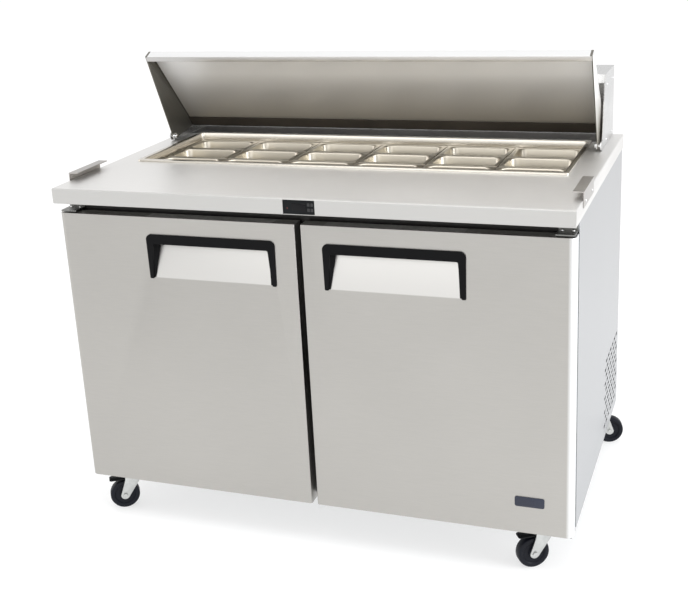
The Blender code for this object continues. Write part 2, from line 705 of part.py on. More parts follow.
def top_hinge(side, name):
    """A bracket on the cabinet's face above the door, with the pin that the door turns on."""
    x = between(side, 566 * MM, 606 * MM)
    low = DOOR_TOP + 2.5 * MM
    bracket = box(name, (x[0], back(22 * MM), low), (x[1], back(BODY_FRONT) - GAP, low + 3 * MM))
    flange = box(name + "_flange", (x[0], back(BODY_FRONT) - 3.5 * MM, low + 1 * MM),
                 (x[1], back(BODY_FRONT) - GAP, low + 11 * MM))
    centre = (side * HINGE_X, back(HINGE_BACK))
    pin = cylinder(name + "_pin", PIN_RADIUS, (*centre, DOOR_TOP - 16 * MM), (*centre, low + 2 * MM))
    fuse(bracket, flange, pin)
    paint(bracket, "zinc")


def bottom_hinge(side, name):
    """A bracket under the cabinet's front edge, with a pin up into the door."""
    x = between(side, 572 * MM, 606 * MM)
    high = DOOR_BOTTOM - 1 * MM
    bracket = box(name, (x[0], back(24 * MM), high - 3 * MM), (x[1], back(112 * MM), high))
    pad = box(name + "_pad", (x[0], back(BODY_FRONT + 3 * MM), high - 2 * MM),
              (x[1], back(112 * MM), BODY_BOTTOM - GAP))
    centre = (side * HINGE_X, back(HINGE_BACK))
    pin = cylinder(name + "_pin", PIN_RADIUS, (*centre, high - 2 * MM), (*centre, DOOR_BOTTOM + 16 * MM))
    fuse(bracket, pad, pin)
    paint(bracket, "zinc")


# ---------------------------------------------------------------- refrigeration

def condensing_unit():
    """Compressor, condenser coil, fan shroud and fan motor on one base plate, behind the side vents."""
    base_low = BODY_BOTTOM + SHEET + GAP
    axis_y, axis_z = back(FAN_BACK), FAN_HEIGHT
    unit = box("condensing_unit", (230 * MM, back(515 * MM), base_low), (594 * MM, back(745 * MM), base_low + 4 * MM))
    compressor = cylinder("compressor_can", 72 * MM, (312 * MM, axis_y, base_low + 2 * MM),
                          (312 * MM, axis_y, base_low + 130 * MM), sides=20)
    dome = cylinder("compressor_dome", 72 * MM, (312 * MM, axis_y, base_low + 129 * MM),
                    (312 * MM, axis_y, base_low + 165 * MM), sides=20, end_radius=38 * MM)
    coil = box("condenser_coil", (552 * MM, back(525 * MM), base_low + 2 * MM), (584 * MM, back(738 * MM), 316 * MM))
    shroud = box("fan_shroud", (534 * MM, back(532 * MM), base_low + 2 * MM), (553 * MM, back(731 * MM), 312 * MM))
    throat = cylinder("shroud_throat", FAN_RADIUS + 8 * MM, (520 * MM, axis_y, axis_z), (553.5 * MM, axis_y, axis_z),
                      "X", sides=20)
    combine(shroud, throat, "DIFFERENCE")
    post = box("fan_post", (470 * MM, axis_y - 15 * MM, base_low + 2 * MM), (484 * MM, axis_y + 15 * MM, axis_z))
    motor = cylinder("fan_motor", 28 * MM, (450 * MM, axis_y, axis_z), (504 * MM, axis_y, axis_z), "X")
    shaft = cylinder("fan_shaft", 3 * MM, (500 * MM, axis_y, axis_z), (516 * MM, axis_y, axis_z), "X", sides=12)
    fuse(unit, compressor, dome, coil, shroud, post, motor, shaft)
    paint(unit, "compressor")


def condenser_fan():
    """Four pitched blades on a hub that turns about the motor shaft."""
    centre = Vector((FAN_X, back(FAN_BACK), FAN_HEIGHT))
    hub = cylinder("condenser_fan", 20 * MM, centre - Vector((10 * MM, 0, 0)), centre + Vector((10 * MM, 0, 0)),
                   "X", origin=tuple(centre))
    blades = 4
    for blade in range(blades):
        bm = bmesh.new()
        add_cube(bm, (-1 * MM, -26 * MM, 15 * MM), (1 * MM, 26 * MM, FAN_RADIUS))
        pitch = Matrix.Rotation(math.radians(18), 4, "Z")
        spin = Matrix.Rotation(2 * math.pi * blade / blades, 4, "X")
        bm.transform(Matrix.Translation(centre) @ spin @ pitch)
        fuse(hub, add_object(f"fan_blade_{blade + 1}", bm))
    bore = cylinder("fan_bore", 3.6 * MM, centre - Vector((15 * MM, 0, 0)), centre - Vector((2 * MM, 0, 0)),
                    "X", sides=12)
    cut(hub, bore)
    paint(hub, "galvanised")


def evaporator_unit():
    """The coil housing on the cavity's rear wall, with two fan outlets in front."""
    rear, depth = CAVITY_REAR - GAP, 66 * MM
    low, high = 500 * MM, 660 * MM
    unit = box("evaporator_unit", (-230 * MM, back(rear - depth), low), (230 * MM, back(rear), high))
    bevel(unit, 5 * MM, segments=2)
    for side, word in ((-1, "left"), (1, "right")):
        x = side * 110 * MM
        outlet = cylinder(word + "_outlet", 52 * MM, (x, back(rear - depth - 10 * MM), (low + high) / 2),
                          (x, back(rear - depth + 30 * MM), (low + high) / 2), "Y", sides=20)
        cut(unit, outlet)
    paint(unit, "liner")


# ---------------------------------------------------------------- casters

def hang(obj, empty):
    """Carry a piece that was drawn in a caster's own frame, with its swivel axis at the origin."""
    obj.parent = empty


def wheel(name, empty):
    """A tyre on a hub, with a flat of the tyre on the floor."""
    corner = WHEEL_RADIUS / math.cos(math.pi / WHEEL_SIDES)
    axle = (CASTER_TRAIL, 0, WHEEL_RADIUS)
    bore, hub, rim = 6 * MM, 12 * MM, 27 * MM
    profile = [(bore, WHEEL_HALF + 1 * MM), (hub, WHEEL_HALF + 1 * MM), (hub, WHEEL_HALF - 3 * MM),
               (rim, WHEEL_HALF - 3 * MM), (rim + 2 * MM, WHEEL_HALF), (corner - 3 * MM, WHEEL_HALF),
               (corner, WHEEL_HALF - 3 * MM)]
    profile += [(radius, -offset) for radius, offset in reversed(profile)]
    bm = bmesh.new()
    start = Matrix.Rotation(math.pi / WHEEL_SIDES, 3, "Y")
    verts = [bm.verts.new(start @ Vector((0, offset, -radius))) for radius, offset in profile]
    edges = [bm.edges.new(pair) for pair in zip(verts, verts[1:] + verts[:1])]
    mesh = bpy.data.meshes.new(name)
    bm.to_mesh(mesh)
    bm.free()
    obj = bpy.data.objects.new(name, mesh)
    PARTS.objects.link(obj)
    obj.location = axle
    screw = obj.modifiers.new("turn", "SCREW")
    screw.axis = "Y"
    screw.steps = WHEEL_SIDES
    screw.render_steps = WHEEL_SIDES
    screw.use_merge_vertices = True
    screw.merge_threshold = 0.00001
    screw.use_smooth_shade = False
    screw.use_normal_calculate = True
    hang(obj, empty)
    paint(obj, "wheel_rubber")


def fork(name, empty):
    """A swivel plate with two legs that reach back to the axle."""
    plate_top = HEAD_BOTTOM - GAP
    plate = cylinder(name, 24 * MM, (0, 0, plate_top - 6 * MM), (0, 0, plate_top), sides=20)
    leg_top = plate_top - 2 * MM
    axle = (CASTER_TRAIL, WHEEL_RADIUS)
    foot = 11 * MM
    leg_outline = [(-15 * MM, leg_top), (-15 * MM, leg_top - 16 * MM)] + arc(axle, foot, 215, 375, 6)
    leg_outline += [(20 * MM, leg_top - 12 * MM), (20 * MM, leg_top)]
    for side, word in ((-1, "a"), (1, "b")):
        low, high = sorted((side * FORK_INNER, side * (FORK_INNER + FORK_SHEET)))
        leg = outline(f"{name}_leg_{word}", leg_outline, low, high, axis="Y")
        hang(leg, empty)
        fuse(plate, leg)
    reach = FORK_INNER + FORK_SHEET + 2 * MM
    bolt = cylinder(name + "_axle", 5 * MM, (axle[0], -reach, axle[1]), (axle[0], reach, axle[1]), "Y")
    hang(bolt, empty)
    fuse(plate, bolt)
    if "front" in name:
        pin = cylinder(name + "_brake_pin", 2 * MM, (BRAKE_AXIS, -reach + 1 * MM, BRAKE_HEIGHT),
                       (BRAKE_AXIS, reach - 1 * MM, BRAKE_HEIGHT), "Y", sides=12)
        hang(pin, empty)
        fuse(plate, pin)
    hang(plate, empty)
    paint(plate, "zinc")


def swivel_head(name, empty):
    """The fixed head over the swivel race, with the stem that goes up to the chassis."""
    head = cylinder(name, HEAD_RADIUS, (0, 0, HEAD_BOTTOM), (0, 0, HEAD_TOP), sides=20)
    bevel(head, 2.5 * MM, segments=2)
    stem = cylinder(name + "_stem", 9 * MM, (0, 0, HEAD_TOP - 2 * MM), (0, 0, BODY_BOTTOM - GAP))
    hang(stem, empty)
    fuse(head, stem)
    hang(head, empty)
    paint(head, "black_plastic")


def brake(name, empty):
    """The pedal over the wheel, which presses on the tread when it is tipped down."""
    half, thickness, knuckle = 13 * MM, 3 * MM, 4 * MM
    low = BRAKE_HEIGHT - thickness / 2
    pedal = box(name, (BRAKE_AXIS, -half, low), (60 * MM, half, low + thickness),
                origin=(BRAKE_AXIS, 0, BRAKE_HEIGHT))
    bevel(pedal, 1 * MM, segments=1)
    boss = cylinder(name + "_knuckle", knuckle, (BRAKE_AXIS, -half, BRAKE_HEIGHT), (BRAKE_AXIS, half, BRAKE_HEIGHT),
                    "Y", sides=12)
    bore = cylinder(name + "_bore", 2.5 * MM, (BRAKE_AXIS, -half - 5 * MM, BRAKE_HEIGHT),
                    (BRAKE_AXIS, half + 5 * MM, BRAKE_HEIGHT), "Y", sides=12)
    hang(boss, empty)
    hang(bore, empty)
    fuse(pedal, boss)
    cut(pedal, bore)
    hang(pedal, empty)
    paint(pedal, "black_plastic")


def casters():
    for place, (x, distance, heading) in CASTERS.items():
        empty = bpy.data.objects.new(f"{place}_swivel_axis", None)
        PARTS.objects.link(empty)
        empty.location = (x, back(distance), 0)
        empty.rotation_euler.z = math.radians(heading)
        swivel_head(f"{place}_caster_head", empty)
        fork(f"{place}_caster_fork", empty)
        wheel(f"{place}_caster_wheel", empty)
        if "front" in place:
            brake(f"{place}_caster_brake", empty)


# ---------------------------------------------------------------- the whole table

clear_scene()
PARTS = new_collection("sandwich_prep_table")
TOOLS = new_collection("cutters")

worktop()
controller()
chassis()
cabinet_liner()
left_panel = side_panel(-1, "left_side_panel")
right_panel = side_panel(1, "right_side_panel")
cut(right_panel, side_vents())
pan_well()
pans()
rear_hood()
lid_cover()
condensing_unit()
condenser_fan()
evaporator_unit()
for table_side, word in ((-1, "left"), (1, "right")):
    board_bracket(table_side, word + "_board_bracket")
    shelf(table_side, word + "_shelf")
    door(table_side, word + "_door")
    top_hinge(table_side, word + "_top_hinge")
    bottom_hinge(table_side, word + "_bottom_hinge")
casters()
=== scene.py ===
# Looks for the sandwich prep table: finer pieces over the fixed frame, procedural materials, studio and camera.

import json
import math

import bmesh
import bpy
from mathutils import Matrix, Vector


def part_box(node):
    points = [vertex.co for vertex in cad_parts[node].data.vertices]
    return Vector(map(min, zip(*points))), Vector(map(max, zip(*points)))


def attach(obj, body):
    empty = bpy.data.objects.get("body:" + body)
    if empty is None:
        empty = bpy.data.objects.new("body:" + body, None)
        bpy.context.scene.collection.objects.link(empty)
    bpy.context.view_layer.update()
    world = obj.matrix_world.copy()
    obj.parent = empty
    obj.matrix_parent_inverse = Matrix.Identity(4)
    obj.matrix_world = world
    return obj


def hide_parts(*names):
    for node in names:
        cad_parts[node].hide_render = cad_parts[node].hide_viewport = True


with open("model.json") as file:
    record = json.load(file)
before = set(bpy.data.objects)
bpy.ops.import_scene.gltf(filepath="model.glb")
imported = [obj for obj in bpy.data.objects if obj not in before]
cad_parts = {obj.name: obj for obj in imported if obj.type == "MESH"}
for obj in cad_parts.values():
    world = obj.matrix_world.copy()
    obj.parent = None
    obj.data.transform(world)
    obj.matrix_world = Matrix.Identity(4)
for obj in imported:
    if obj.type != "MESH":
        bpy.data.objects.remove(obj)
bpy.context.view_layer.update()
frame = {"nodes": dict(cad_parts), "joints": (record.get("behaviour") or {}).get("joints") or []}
NODES = frame["nodes"]
JOINTS = {joint["name"]: joint for joint in frame["joints"]}
LID_TURN = math.radians(JOINTS["lid_hinge"]["range_deg"][0])    # from shut, as the lid is drawn, to open at rest

MM = 0.001
SHARP = math.radians(35)            # edges sharper than this aren't smoothed
TOP_LOW, TOP_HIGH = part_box("worktop")
SIDES = ((-1, "left"), (1, "right"))
CASTERS = ("front_left", "front_right", "rear_left", "rear_right")


def back(distance):
    """Y of a point `distance` behind the worktop's front edge."""
    return TOP_LOW.y + distance


def above(height):
    """Z of a point `height` above the worktop."""
    return TOP_HIGH.z + height


# ---------------------------------------------------------------- camera, light and floor

def make_camera():
    data = bpy.data.cameras.new("camera")
    data.sensor_width = 36.0
    data.lens = 59.94
    data.shift_x = -0.0073
    data.shift_y = -0.0491
    camera = bpy.data.objects.new("camera", data)
    bpy.context.scene.collection.objects.link(camera)
    camera.location = (0.9531, -2.5959, 1.4739)
    camera.rotation_euler = [math.radians(angle) for angle in (72.21, 2.79, 19.64)]
    bpy.context.scene.camera = camera


def area_light(name, place, target, size, power, colour=(1, 1, 1)):
    data = bpy.data.lights.new(name, "AREA")
    data.shape = "RECTANGLE"
    data.size, data.size_y = size
    data.energy = power
    data.color = colour
    light = bpy.data.objects.new(name, data)
    bpy.context.scene.collection.objects.link(light)
    light.location = place
    light.rotation_mode = "QUATERNION"
    light.rotation_quaternion = (Vector(target) - Vector(place)).to_track_quat("-Z", "Y")


def make_studio():
    """A white surround, brightest overhead, with soft boxes above, in front and at both sides."""
    world = bpy.data.worlds.new("studio")
    bpy.context.scene.world = world
    world.use_nodes = True
    nodes, links = world.node_tree.nodes, world.node_tree.links
    split = nodes.new("ShaderNodeSeparateXYZ")
    scale = nodes.new("ShaderNodeMapRange")
    ramp = nodes.new("ShaderNodeValToRGB")
    links.new(nodes.new("ShaderNodeTexCoord").outputs["Generated"], split.inputs[0])
    links.new(split.outputs["Z"], scale.inputs["Value"])
    scale.inputs["From Min"].default_value = -1.0
    links.new(scale.outputs[0], ramp.inputs[0])
    horizon, zenith = ramp.color_ramp.elements
    horizon.position, horizon.color = 0.48, (0.80, 0.80, 0.80, 1)
    zenith.position, zenith.color = 0.85, (1.0, 1.0, 1.0, 1)
    background = nodes["Background"]
    links.new(ramp.outputs[0], background.inputs["Color"])
    background.inputs["Strength"].default_value = 1.0
    area_light("overhead_softbox", (0.1, -0.7, 3.0), (0, 0.1, 0.8), (2.6, 1.6), 30)
    area_light("front_softbox", (0, -5.5, 2.6), (0, 0, 0.8), (6.0, 2.2), 45)
    area_light("left_softbox", (-3.2, -1.4, 1.7), (0, 0, 0.6), (1.4, 2.2), 16)
    area_light("right_softbox", (3.2, -0.4, 1.6), (0.5, 0, 0.5), (2.0, 2.4), 60, (0.94, 0.97, 1.0))
    settings = bpy.context.scene.view_settings
    settings.view_transform = "Standard"
    settings.look = "None"


def make_floor():
    bm = bmesh.new()
    bmesh.ops.create_grid(bm, x_segments=1, y_segments=1, size=30)
    mesh = bpy.data.meshes.new("floor")
    bm.to_mesh(mesh)
    bm.free()
    floor = bpy.data.objects.new("floor", mesh)
    bpy.context.scene.collection.objects.link(floor)
    material = bpy.data.materials.new("pale_floor")
    material.use_nodes = True
    shader = material.node_tree.nodes["Principled BSDF"]
    shader.inputs["Base Color"].default_value = (0.42, 0.42, 0.42, 1)
    shader.inputs["Roughness"].default_value = 0.95
    shader.inputs["Emission Color"].default_value = (1, 1, 1, 1)
    shader.inputs["Emission Strength"].default_value = 0.6
    mesh.materials.append(material)


# ---------------------------------------------------------------- materials

class Graph:
    """Wires up one material's nodes."""

    def __init__(self, name):
        self.material = bpy.data.materials.new(name)
        self.material.use_nodes = True
        self.nodes = self.material.node_tree.nodes
        self.links = self.material.node_tree.links
        self.shader = self.nodes["Principled BSDF"]
        self.coordinates = self.nodes.new("ShaderNodeTexCoord").outputs["Object"]

    def fixed(self, **values):
        for key, value in values.items():
            self.shader.inputs[key.replace("_", " ")].default_value = value

    def noise(self, scale, stretch=(1, 1, 1), detail=3.0, roughness=0.5):
        mapping = self.nodes.new("ShaderNodeMapping")
        mapping.inputs["Scale"].default_value = stretch
        self.links.new(self.coordinates, mapping.inputs["Vector"])
        noise = self.nodes.new("ShaderNodeTexNoise")
        noise.inputs["Scale"].default_value = scale
        noise.inputs["Detail"].default_value = detail
        noise.inputs["Roughness"].default_value = roughness
        self.links.new(mapping.outputs[0], noise.inputs["Vector"])
        return noise.outputs["Fac"]

    def spread(self, value, low, high, source=(0.3, 0.7)):
        """Map a value from the source range to low and high."""
        node = self.nodes.new("ShaderNodeMapRange")
        node.inputs["From Min"].default_value, node.inputs["From Max"].default_value = source
        node.inputs["To Min"].default_value, node.inputs["To Max"].default_value = low, high
        self.links.new(value, node.inputs["Value"])
        return node.outputs[0]

    def multiply(self, first, second):
        return self.add(first, second, "MULTIPLY")

    def add(self, first, second, operation="ADD"):
        node = self.nodes.new("ShaderNodeMath")
        node.operation = operation
        for socket, value in zip(node.inputs, (first, second)):
            if isinstance(value, float):
                socket.default_value = value
            else:
                self.links.new(value, socket)
        return node.outputs[0]

    def mix(self, factor, first, second):
        """Mix two colours by a value."""
        node = self.nodes.new("ShaderNodeMix")
        node.data_type = "RGBA"
        self.links.new(factor, node.inputs[0])
        for socket, value in ((node.inputs[6], first), (node.inputs[7], second)):
            if isinstance(value, tuple):
                socket.default_value = (*value, 1.0)
            else:
                self.links.new(value, socket)
        return node.outputs[2]

    def axis_value(self, axis):
        split = self.nodes.new("ShaderNodeSeparateXYZ")
        self.links.new(self.coordinates, split.inputs[0])
        return split.outputs[axis]

    def within(self, axis, middle, reach):
        """1 where the distance from the centre along an axis is within reach of a value, and 0 elsewhere."""
        size = self.nodes.new("ShaderNodeMath")
        size.operation = "ABSOLUTE"
        self.links.new(self.axis_value(axis), size.inputs[0])
        node = self.nodes.new("ShaderNodeMath")
        node.operation = "COMPARE"
        self.links.new(size.outputs[0], node.inputs[0])
        node.inputs[1].default_value, node.inputs[2].default_value = middle, reach
        return node.outputs[0]

    def bump(self, height, strength, distance):
        node = self.nodes.new("ShaderNodeBump")
        node.inputs["Strength"].default_value = strength
        node.inputs["Distance"].default_value = distance
        self.links.new(height, node.inputs["Height"])
        self.links.new(node.outputs[0], self.shader.inputs["Normal"])

    def tangent(self, axis):
        """Turn the stretch of the reflections so that it runs round an axis."""
        node = self.nodes.new("ShaderNodeTangent")
        node.direction_type = "RADIAL"
        node.axis = axis
        self.links.new(node.outputs[0], self.shader.inputs["Tangent"])

    def colour(self, value):
        self.links.new(value, self.shader.inputs["Base Color"])

    def tint(self, mask, colour):
        """Change the colour made so far where a mask is 1."""
        so_far = self.shader.inputs["Base Color"].links[0].from_socket
        self.colour(self.mix(mask, so_far, colour))

    def rough(self, value):
        self.links.new(value, self.shader.inputs["Roughness"])


GRAIN = (1.2, 60, 60)               # stretch of the streaks, which run along X
DARK, LIGHT = 0.82, 1.18            # share of a steel's colour in its darkest and lightest streaks


def brushed_graph(name, colour, roughness, contrast=0.10, anisotropic=0.6, around="X", cloud=0.08, turn=0.0):
    """Brushed sheet steel: fine streaks along the grain, and broad soft changes of tone."""
    graph = Graph(name)
    streaks = graph.noise(18.0, GRAIN, detail=4.0, roughness=0.65)
    clouds = graph.noise(2.2, detail=2.0)
    tone = graph.add(graph.add(graph.spread(streaks, -contrast, contrast), graph.spread(clouds, -cloud, cloud)), 0.5)
    graph.colour(graph.mix(tone, tuple(c * DARK for c in colour), tuple(min(1.0, c * LIGHT) for c in colour)))
    graph.rough(graph.add(graph.spread(streaks, -0.03, 0.03), graph.spread(clouds, roughness - 0.02, roughness + 0.02)))
    graph.bump(streaks, 0.12, 0.00003)
    graph.tangent(around)
    graph.fixed(Metallic=1.0, Anisotropic=anisotropic, Anisotropic_Rotation=turn)
    return graph


def brushed(name, colour, roughness, **values):
    return brushed_graph(name, colour, roughness, **values).material


def worktop_steel(name):
    """The worktop: painted shade on its front fascia, and a dark painted shade where the hood covers it."""
    graph = brushed_graph(name, (0.80, 0.79, 0.775), 0.42, anisotropic=0.3, cloud=0.04)
    distance = graph.axis_value("Y")
    shade_behind_well = graph.spread(distance, 0.0, 1.0, (back(657 * MM), back(659 * MM)))
    between_hood_ends = graph.within("X", 0.0, 583 * MM)
    # painted shade: the worktop goes nearly black behind the well, between the hood's ends, where the hood's shade
    # falls
    graph.tint(graph.multiply(shade_behind_well, between_hood_ends), (0.085, 0.078, 0.07))
    # painted shade: the front fascia is darker than the top of the same sheet, for the light falling from above
    graph.tint(graph.spread(distance, 1.0, 0.0, (back(1.5 * MM), back(3 * MM))), (0.57, 0.565, 0.55))
    return graph.material


def door_steel(name):
    """The doors: painted light on the floor of the handle pocket, and a painted highlight round the right-hand edge."""
    graph = brushed_graph(name, (0.46, 0.448, 0.425), 0.34)
    inward = graph.spread(graph.axis_value("Y"), 0.0, 1.0, (back(16.4 * MM), back(17 * MM)))
    under_handle = graph.within("X", 218.5 * MM, 158 * MM)
    # painted light: the upward-facing floor of the finger pocket is made paler, as if lit from above
    graph.tint(graph.multiply(inward, under_handle), (0.66, 0.65, 0.63))
    # painted highlight: a near-white band round the right-hand edge of the door
    right_edge_highlight = graph.spread(graph.axis_value("X"), 0.0, 1.0, (594 * MM, 603 * MM))
    graph.tint(right_edge_highlight, (0.90, 0.91, 0.92))
    return graph.material


def lid_steel(name):
    """The lid: a painted reflection of the dark well low on its inside, painted light on the folded front edge, and
    painted shade inside the wings.
    """
    graph = brushed_graph(name, (0.93, 0.92, 0.90), 0.38, anisotropic=0.75, contrast=0.04, cloud=0.05, turn=0.25)
    height = graph.axis_value("Z")
    # painted reflection: the lid's lower inside turns a brownish dark, as the reflection of the well below
    low_painted_reflection = graph.spread(height, 1.0, 0.0, (above(40 * MM), above(190 * MM)))
    graph.tint(low_painted_reflection, (0.42, 0.39, 0.335))
    # painted light: the folded front edge gets a flat grey in place of the light on the fold
    front_edge_painted_light = graph.spread(height, 0.0, 1.0, (above(243 * MM), above(246 * MM)))
    graph.tint(front_edge_painted_light, (0.72, 0.72, 0.72))
    # painted shade: the inner faces of the side wings are made nearly black
    wing_painted_shade = graph.within("X", 573.4 * MM, 3.0 * MM)
    graph.tint(wing_painted_shade, (0.15, 0.143, 0.125))
    graph.fixed(Metallic=0.55)
    return graph.material


def moulded(name, colour, roughness, lift=1.4, bump=0.12, shine=0.5):
    """Moulded plastic or rubber with a fine texture and slight scuffing."""
    graph = Graph(name)
    broad = graph.noise(14.0, detail=3.0)
    graph.colour(graph.mix(graph.spread(broad, 0.0, 1.0), colour, tuple(min(1.0, c * lift) for c in colour)))
    graph.rough(graph.spread(broad, roughness - 0.05, roughness + 0.06))
    graph.bump(graph.noise(900.0, detail=2.0), bump, 0.00006)
    graph.fixed(Specular_IOR_Level=shine)
    return graph.material


def plated(name, colour, roughness):
    """Zinc plate or galvanised sheet with a faint crystalline mottling."""
    graph = Graph(name)
    mottle = graph.noise(70.0, detail=4.0, roughness=0.6)
    graph.colour(graph.mix(graph.spread(mottle, 0.0, 1.0), tuple(c * 0.86 for c in colour), colour))
    graph.rough(graph.spread(graph.noise(6.0, detail=2.0), roughness - 0.05, roughness + 0.07))
    graph.bump(mottle, 0.1, 0.00004)
    graph.fixed(Metallic=1.0)
    return graph.material


def enamel(name):
    """Pale liner enamel, with black breaker strips on the cabinet's front face."""
    graph = Graph(name)
    broad = graph.noise(5.0, detail=2.0)
    pale = graph.mix(graph.spread(broad, 0.0, 1.0), (0.66, 0.66, 0.64), (0.72, 0.72, 0.70))
    strip = graph.spread(graph.axis_value("Y"), 1.0, 0.0, (back(66 * MM), back(67 * MM)))
    graph.colour(graph.mix(strip, pale, (0.010, 0.009, 0.008)))
    graph.rough(graph.spread(broad, 0.32, 0.42))
    graph.bump(graph.noise(400.0), 0.05, 0.00005)
    return graph.material


MATERIALS = {
    # painted light: the stainless sheets are lit and shaded copies of one steel, the doors darkened and the worktop,
    # hood and lid lightened
    "door": door_steel("door_steel"),
    "worktop": worktop_steel("worktop_steel"),
    "side": brushed("side_steel", (0.47, 0.48, 0.495), 0.32, around="Y"),
    "hood": brushed("hood_steel", (0.66, 0.66, 0.66), 0.28),
    "lid": lid_steel("lid_steel"),
    "well": brushed("well_steel", (0.74, 0.70, 0.63), 0.22, contrast=0.04, anisotropic=0.2),
    "pan": brushed("pan_steel", (0.62, 0.575, 0.49), 0.32, contrast=0.03, anisotropic=0.0),
    "chrome": plated("chrome_plate", (0.80, 0.80, 0.80), 0.12),
    "galvanised": plated("galvanised_steel", (0.50, 0.52, 0.53), 0.42),
    "zinc": plated("zinc_plate", (0.62, 0.63, 0.62), 0.30),
    "hinge": plated("hinge_plate", (0.26, 0.26, 0.25), 0.35),
    "fan": plated("fan_aluminium", (0.60, 0.61, 0.62), 0.35),
    # painted shade: the coil fins are made near black so the vent slots read dark
    "fins": plated("coil_fins", (0.07, 0.07, 0.07), 0.5),
    "liner": enamel("liner_enamel"),
    "housing": moulded("housing_enamel", (0.66, 0.66, 0.64), 0.35, lift=1.06, bump=0.04),
    "cap": moulded("door_cap_plastic", (0.007, 0.006, 0.005), 0.45, shine=0.25),
    "handle": moulded("handle_plastic", (0.003, 0.003, 0.0035), 0.50, shine=0.1),
    "black": moulded("black_plastic", (0.005, 0.006, 0.007), 0.45, shine=0.15),
    "window": moulded("display_window", (0.003, 0.003, 0.004), 0.12, bump=0.0, shine=0.2),
    "key": moulded("key_plastic", (0.016, 0.016, 0.017), 0.40),
    "badge": moulded("badge_enamel", (0.012, 0.016, 0.032), 0.25),
    "lamp": moulded("lamp_lens", (0.09, 0.02, 0.018), 0.2, bump=0.0),
    "gasket": moulded("gasket_rubber", (0.018, 0.018, 0.018), 0.6),
    # painted shade: a near-black strip for the shade under the lid's rear edge
    "dark_strip": moulded("painted_shade_strip", (0.045, 0.038, 0.030), 0.6, shine=0.3),
    "wheel": moulded("wheel_rubber", (0.005, 0.006, 0.010), 0.45, lift=1.8, shine=0.2),
    "wire": moulded("coated_wire", (0.66, 0.66, 0.64), 0.3, lift=1.06, bump=0.05),
    "compressor": moulded("compressor_enamel", (0.012, 0.012, 0.012), 0.32, lift=1.6),
    "hem": brushed("lid_hem_steel", (0.52, 0.51, 0.50), 0.34, anisotropic=0.2),
    "bracket": brushed("bracket_steel", (0.50, 0.48, 0.46), 0.34, around="Y"),
}

NODE_FINISH = {
    "worktop": "worktop", "left_side_panel": "side", "right_side_panel": "side", "rear_hood": "hood",
    "left_door_shell": "door", "right_door_shell": "door", "left_board_bracket": "bracket",
    "right_board_bracket": "bracket", "pan_well": "well", "lid_cover": "lid", "chassis": "galvanised",
    "condenser_fan": "fan", "cabinet_liner": "liner", "evaporator_unit": "housing", "condensing_unit": "compressor",
    "controller": "black",
}
ENDINGS = {
    "_shelf": "wire", "_door_liner": "cap", "_door_gasket": "gasket", "_door_handle": "handle", "_hinge": "hinge",
    "_caster_head": "black", "_caster_fork": "zinc", "_caster_wheel": "wheel", "_caster_brake": "black",
}


def finish_nodes():
    """Give every carried-over node its material."""
    for name, node in NODES.items():
        key = NODE_FINISH.get(name)
        if key is None:
            key = next((finish for ending, finish in ENDINGS.items() if name.endswith(ending)), "pan")
        node.data.materials.clear()
        node.data.materials.append(MATERIALS[key])


def soften(name, width):
    """Round the edges of a node that stays in view."""
    node = NODES[name]
    weld = node.modifiers.new("weld", "WELD")
    weld.merge_threshold = 0.00001
    bevel = node.modifiers.new("bevel", "BEVEL")
    bevel.width = width
    bevel.segments = 2
    bevel.limit_method = "ANGLE"
    bevel.angle_limit = math.radians(30)
    bevel.harden_normals = True


# ---------------------------------------------------------------- shapes

def piece(name, bm, finish, body, replaces=(), modifiers=()):
    """Make a piece of a mesh drawn where it goes, and let it ride on a body."""
    bmesh.ops.recalc_face_normals(bm, faces=bm.faces)
    mesh = bpy.data.meshes.new(name)
    bm.to_mesh(mesh)
    bm.free()
    mesh.shade_smooth()
    mesh.set_sharp_from_angle(angle=SHARP)
    mesh.materials.append(MATERIALS[finish])
    obj = bpy.data.objects.new(name, mesh)
    bpy.context.scene.collection.objects.link(obj)
    for kind, values in modifiers:
        modifier = obj.modifiers.new(kind.lower(), kind)
        for key, value in values.items():
            setattr(modifier, key, value)
    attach(obj, body)
    if replaces:
        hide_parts(*replaces)
    return obj


def arc(centre, radius, start, end, steps=8):
    """Points on an arc, with its angles in degrees."""
    angles = [math.radians(start + (end - start) * i / steps) for i in range(steps + 1)]
    return [(centre[0] + radius * math.cos(a), centre[1] + radius * math.sin(a)) for a in angles]


def rounded_rectangle(low, high, radius, steps=6):
    (x0, y0), (x1, y1) = low, high
    corners = (((x1 - radius, y1 - radius), 0), ((x0 + radius, y1 - radius), 90),
               ((x0 + radius, y0 + radius), 180), ((x1 - radius, y0 + radius), 270))
    return [point for centre, start in corners for point in arc(centre, radius, start, start + 90, steps)]


def loft(bm, rings, close=False):
    """Join loops of points that have the same count, and return the loops of vertices."""
    loops = [[bm.verts.new(point) for point in ring] for ring in rings]
    pairs = list(zip(loops, loops[1:])) + ([(loops[-1], loops[0])] if close else [])
    for first, second in pairs:
        for i in range(len(first)):
            j = (i + 1) % len(first)
            bm.faces.new((first[i], first[j], second[j], second[i]))
    return loops


def prism(bm, points, low, high, axis="Z", radius=0.0, matrix=None):
    """A flat outline with thickness and rounded rims: (y, z) points along X, (x, z) along Y or (x, y) along Z."""
    place = {"X": lambda u, v, w: Vector((w, u, v)), "Y": lambda u, v, w: Vector((u, w, v)),
             "Z": lambda u, v, w: Vector((u, v, w))}[axis]
    turn = matrix or Matrix.Identity(4)
    loops = loft(bm, [[turn @ place(u, v, w) for u, v in points] for w in (low, high)])
    caps = [bm.faces.new(loop) for loop in loops]
    if radius:
        edges = list({edge for cap in caps for edge in cap.edges})
        bmesh.ops.bevel(bm, geom=edges, offset=radius, segments=2, profile=0.5, affect="EDGES")


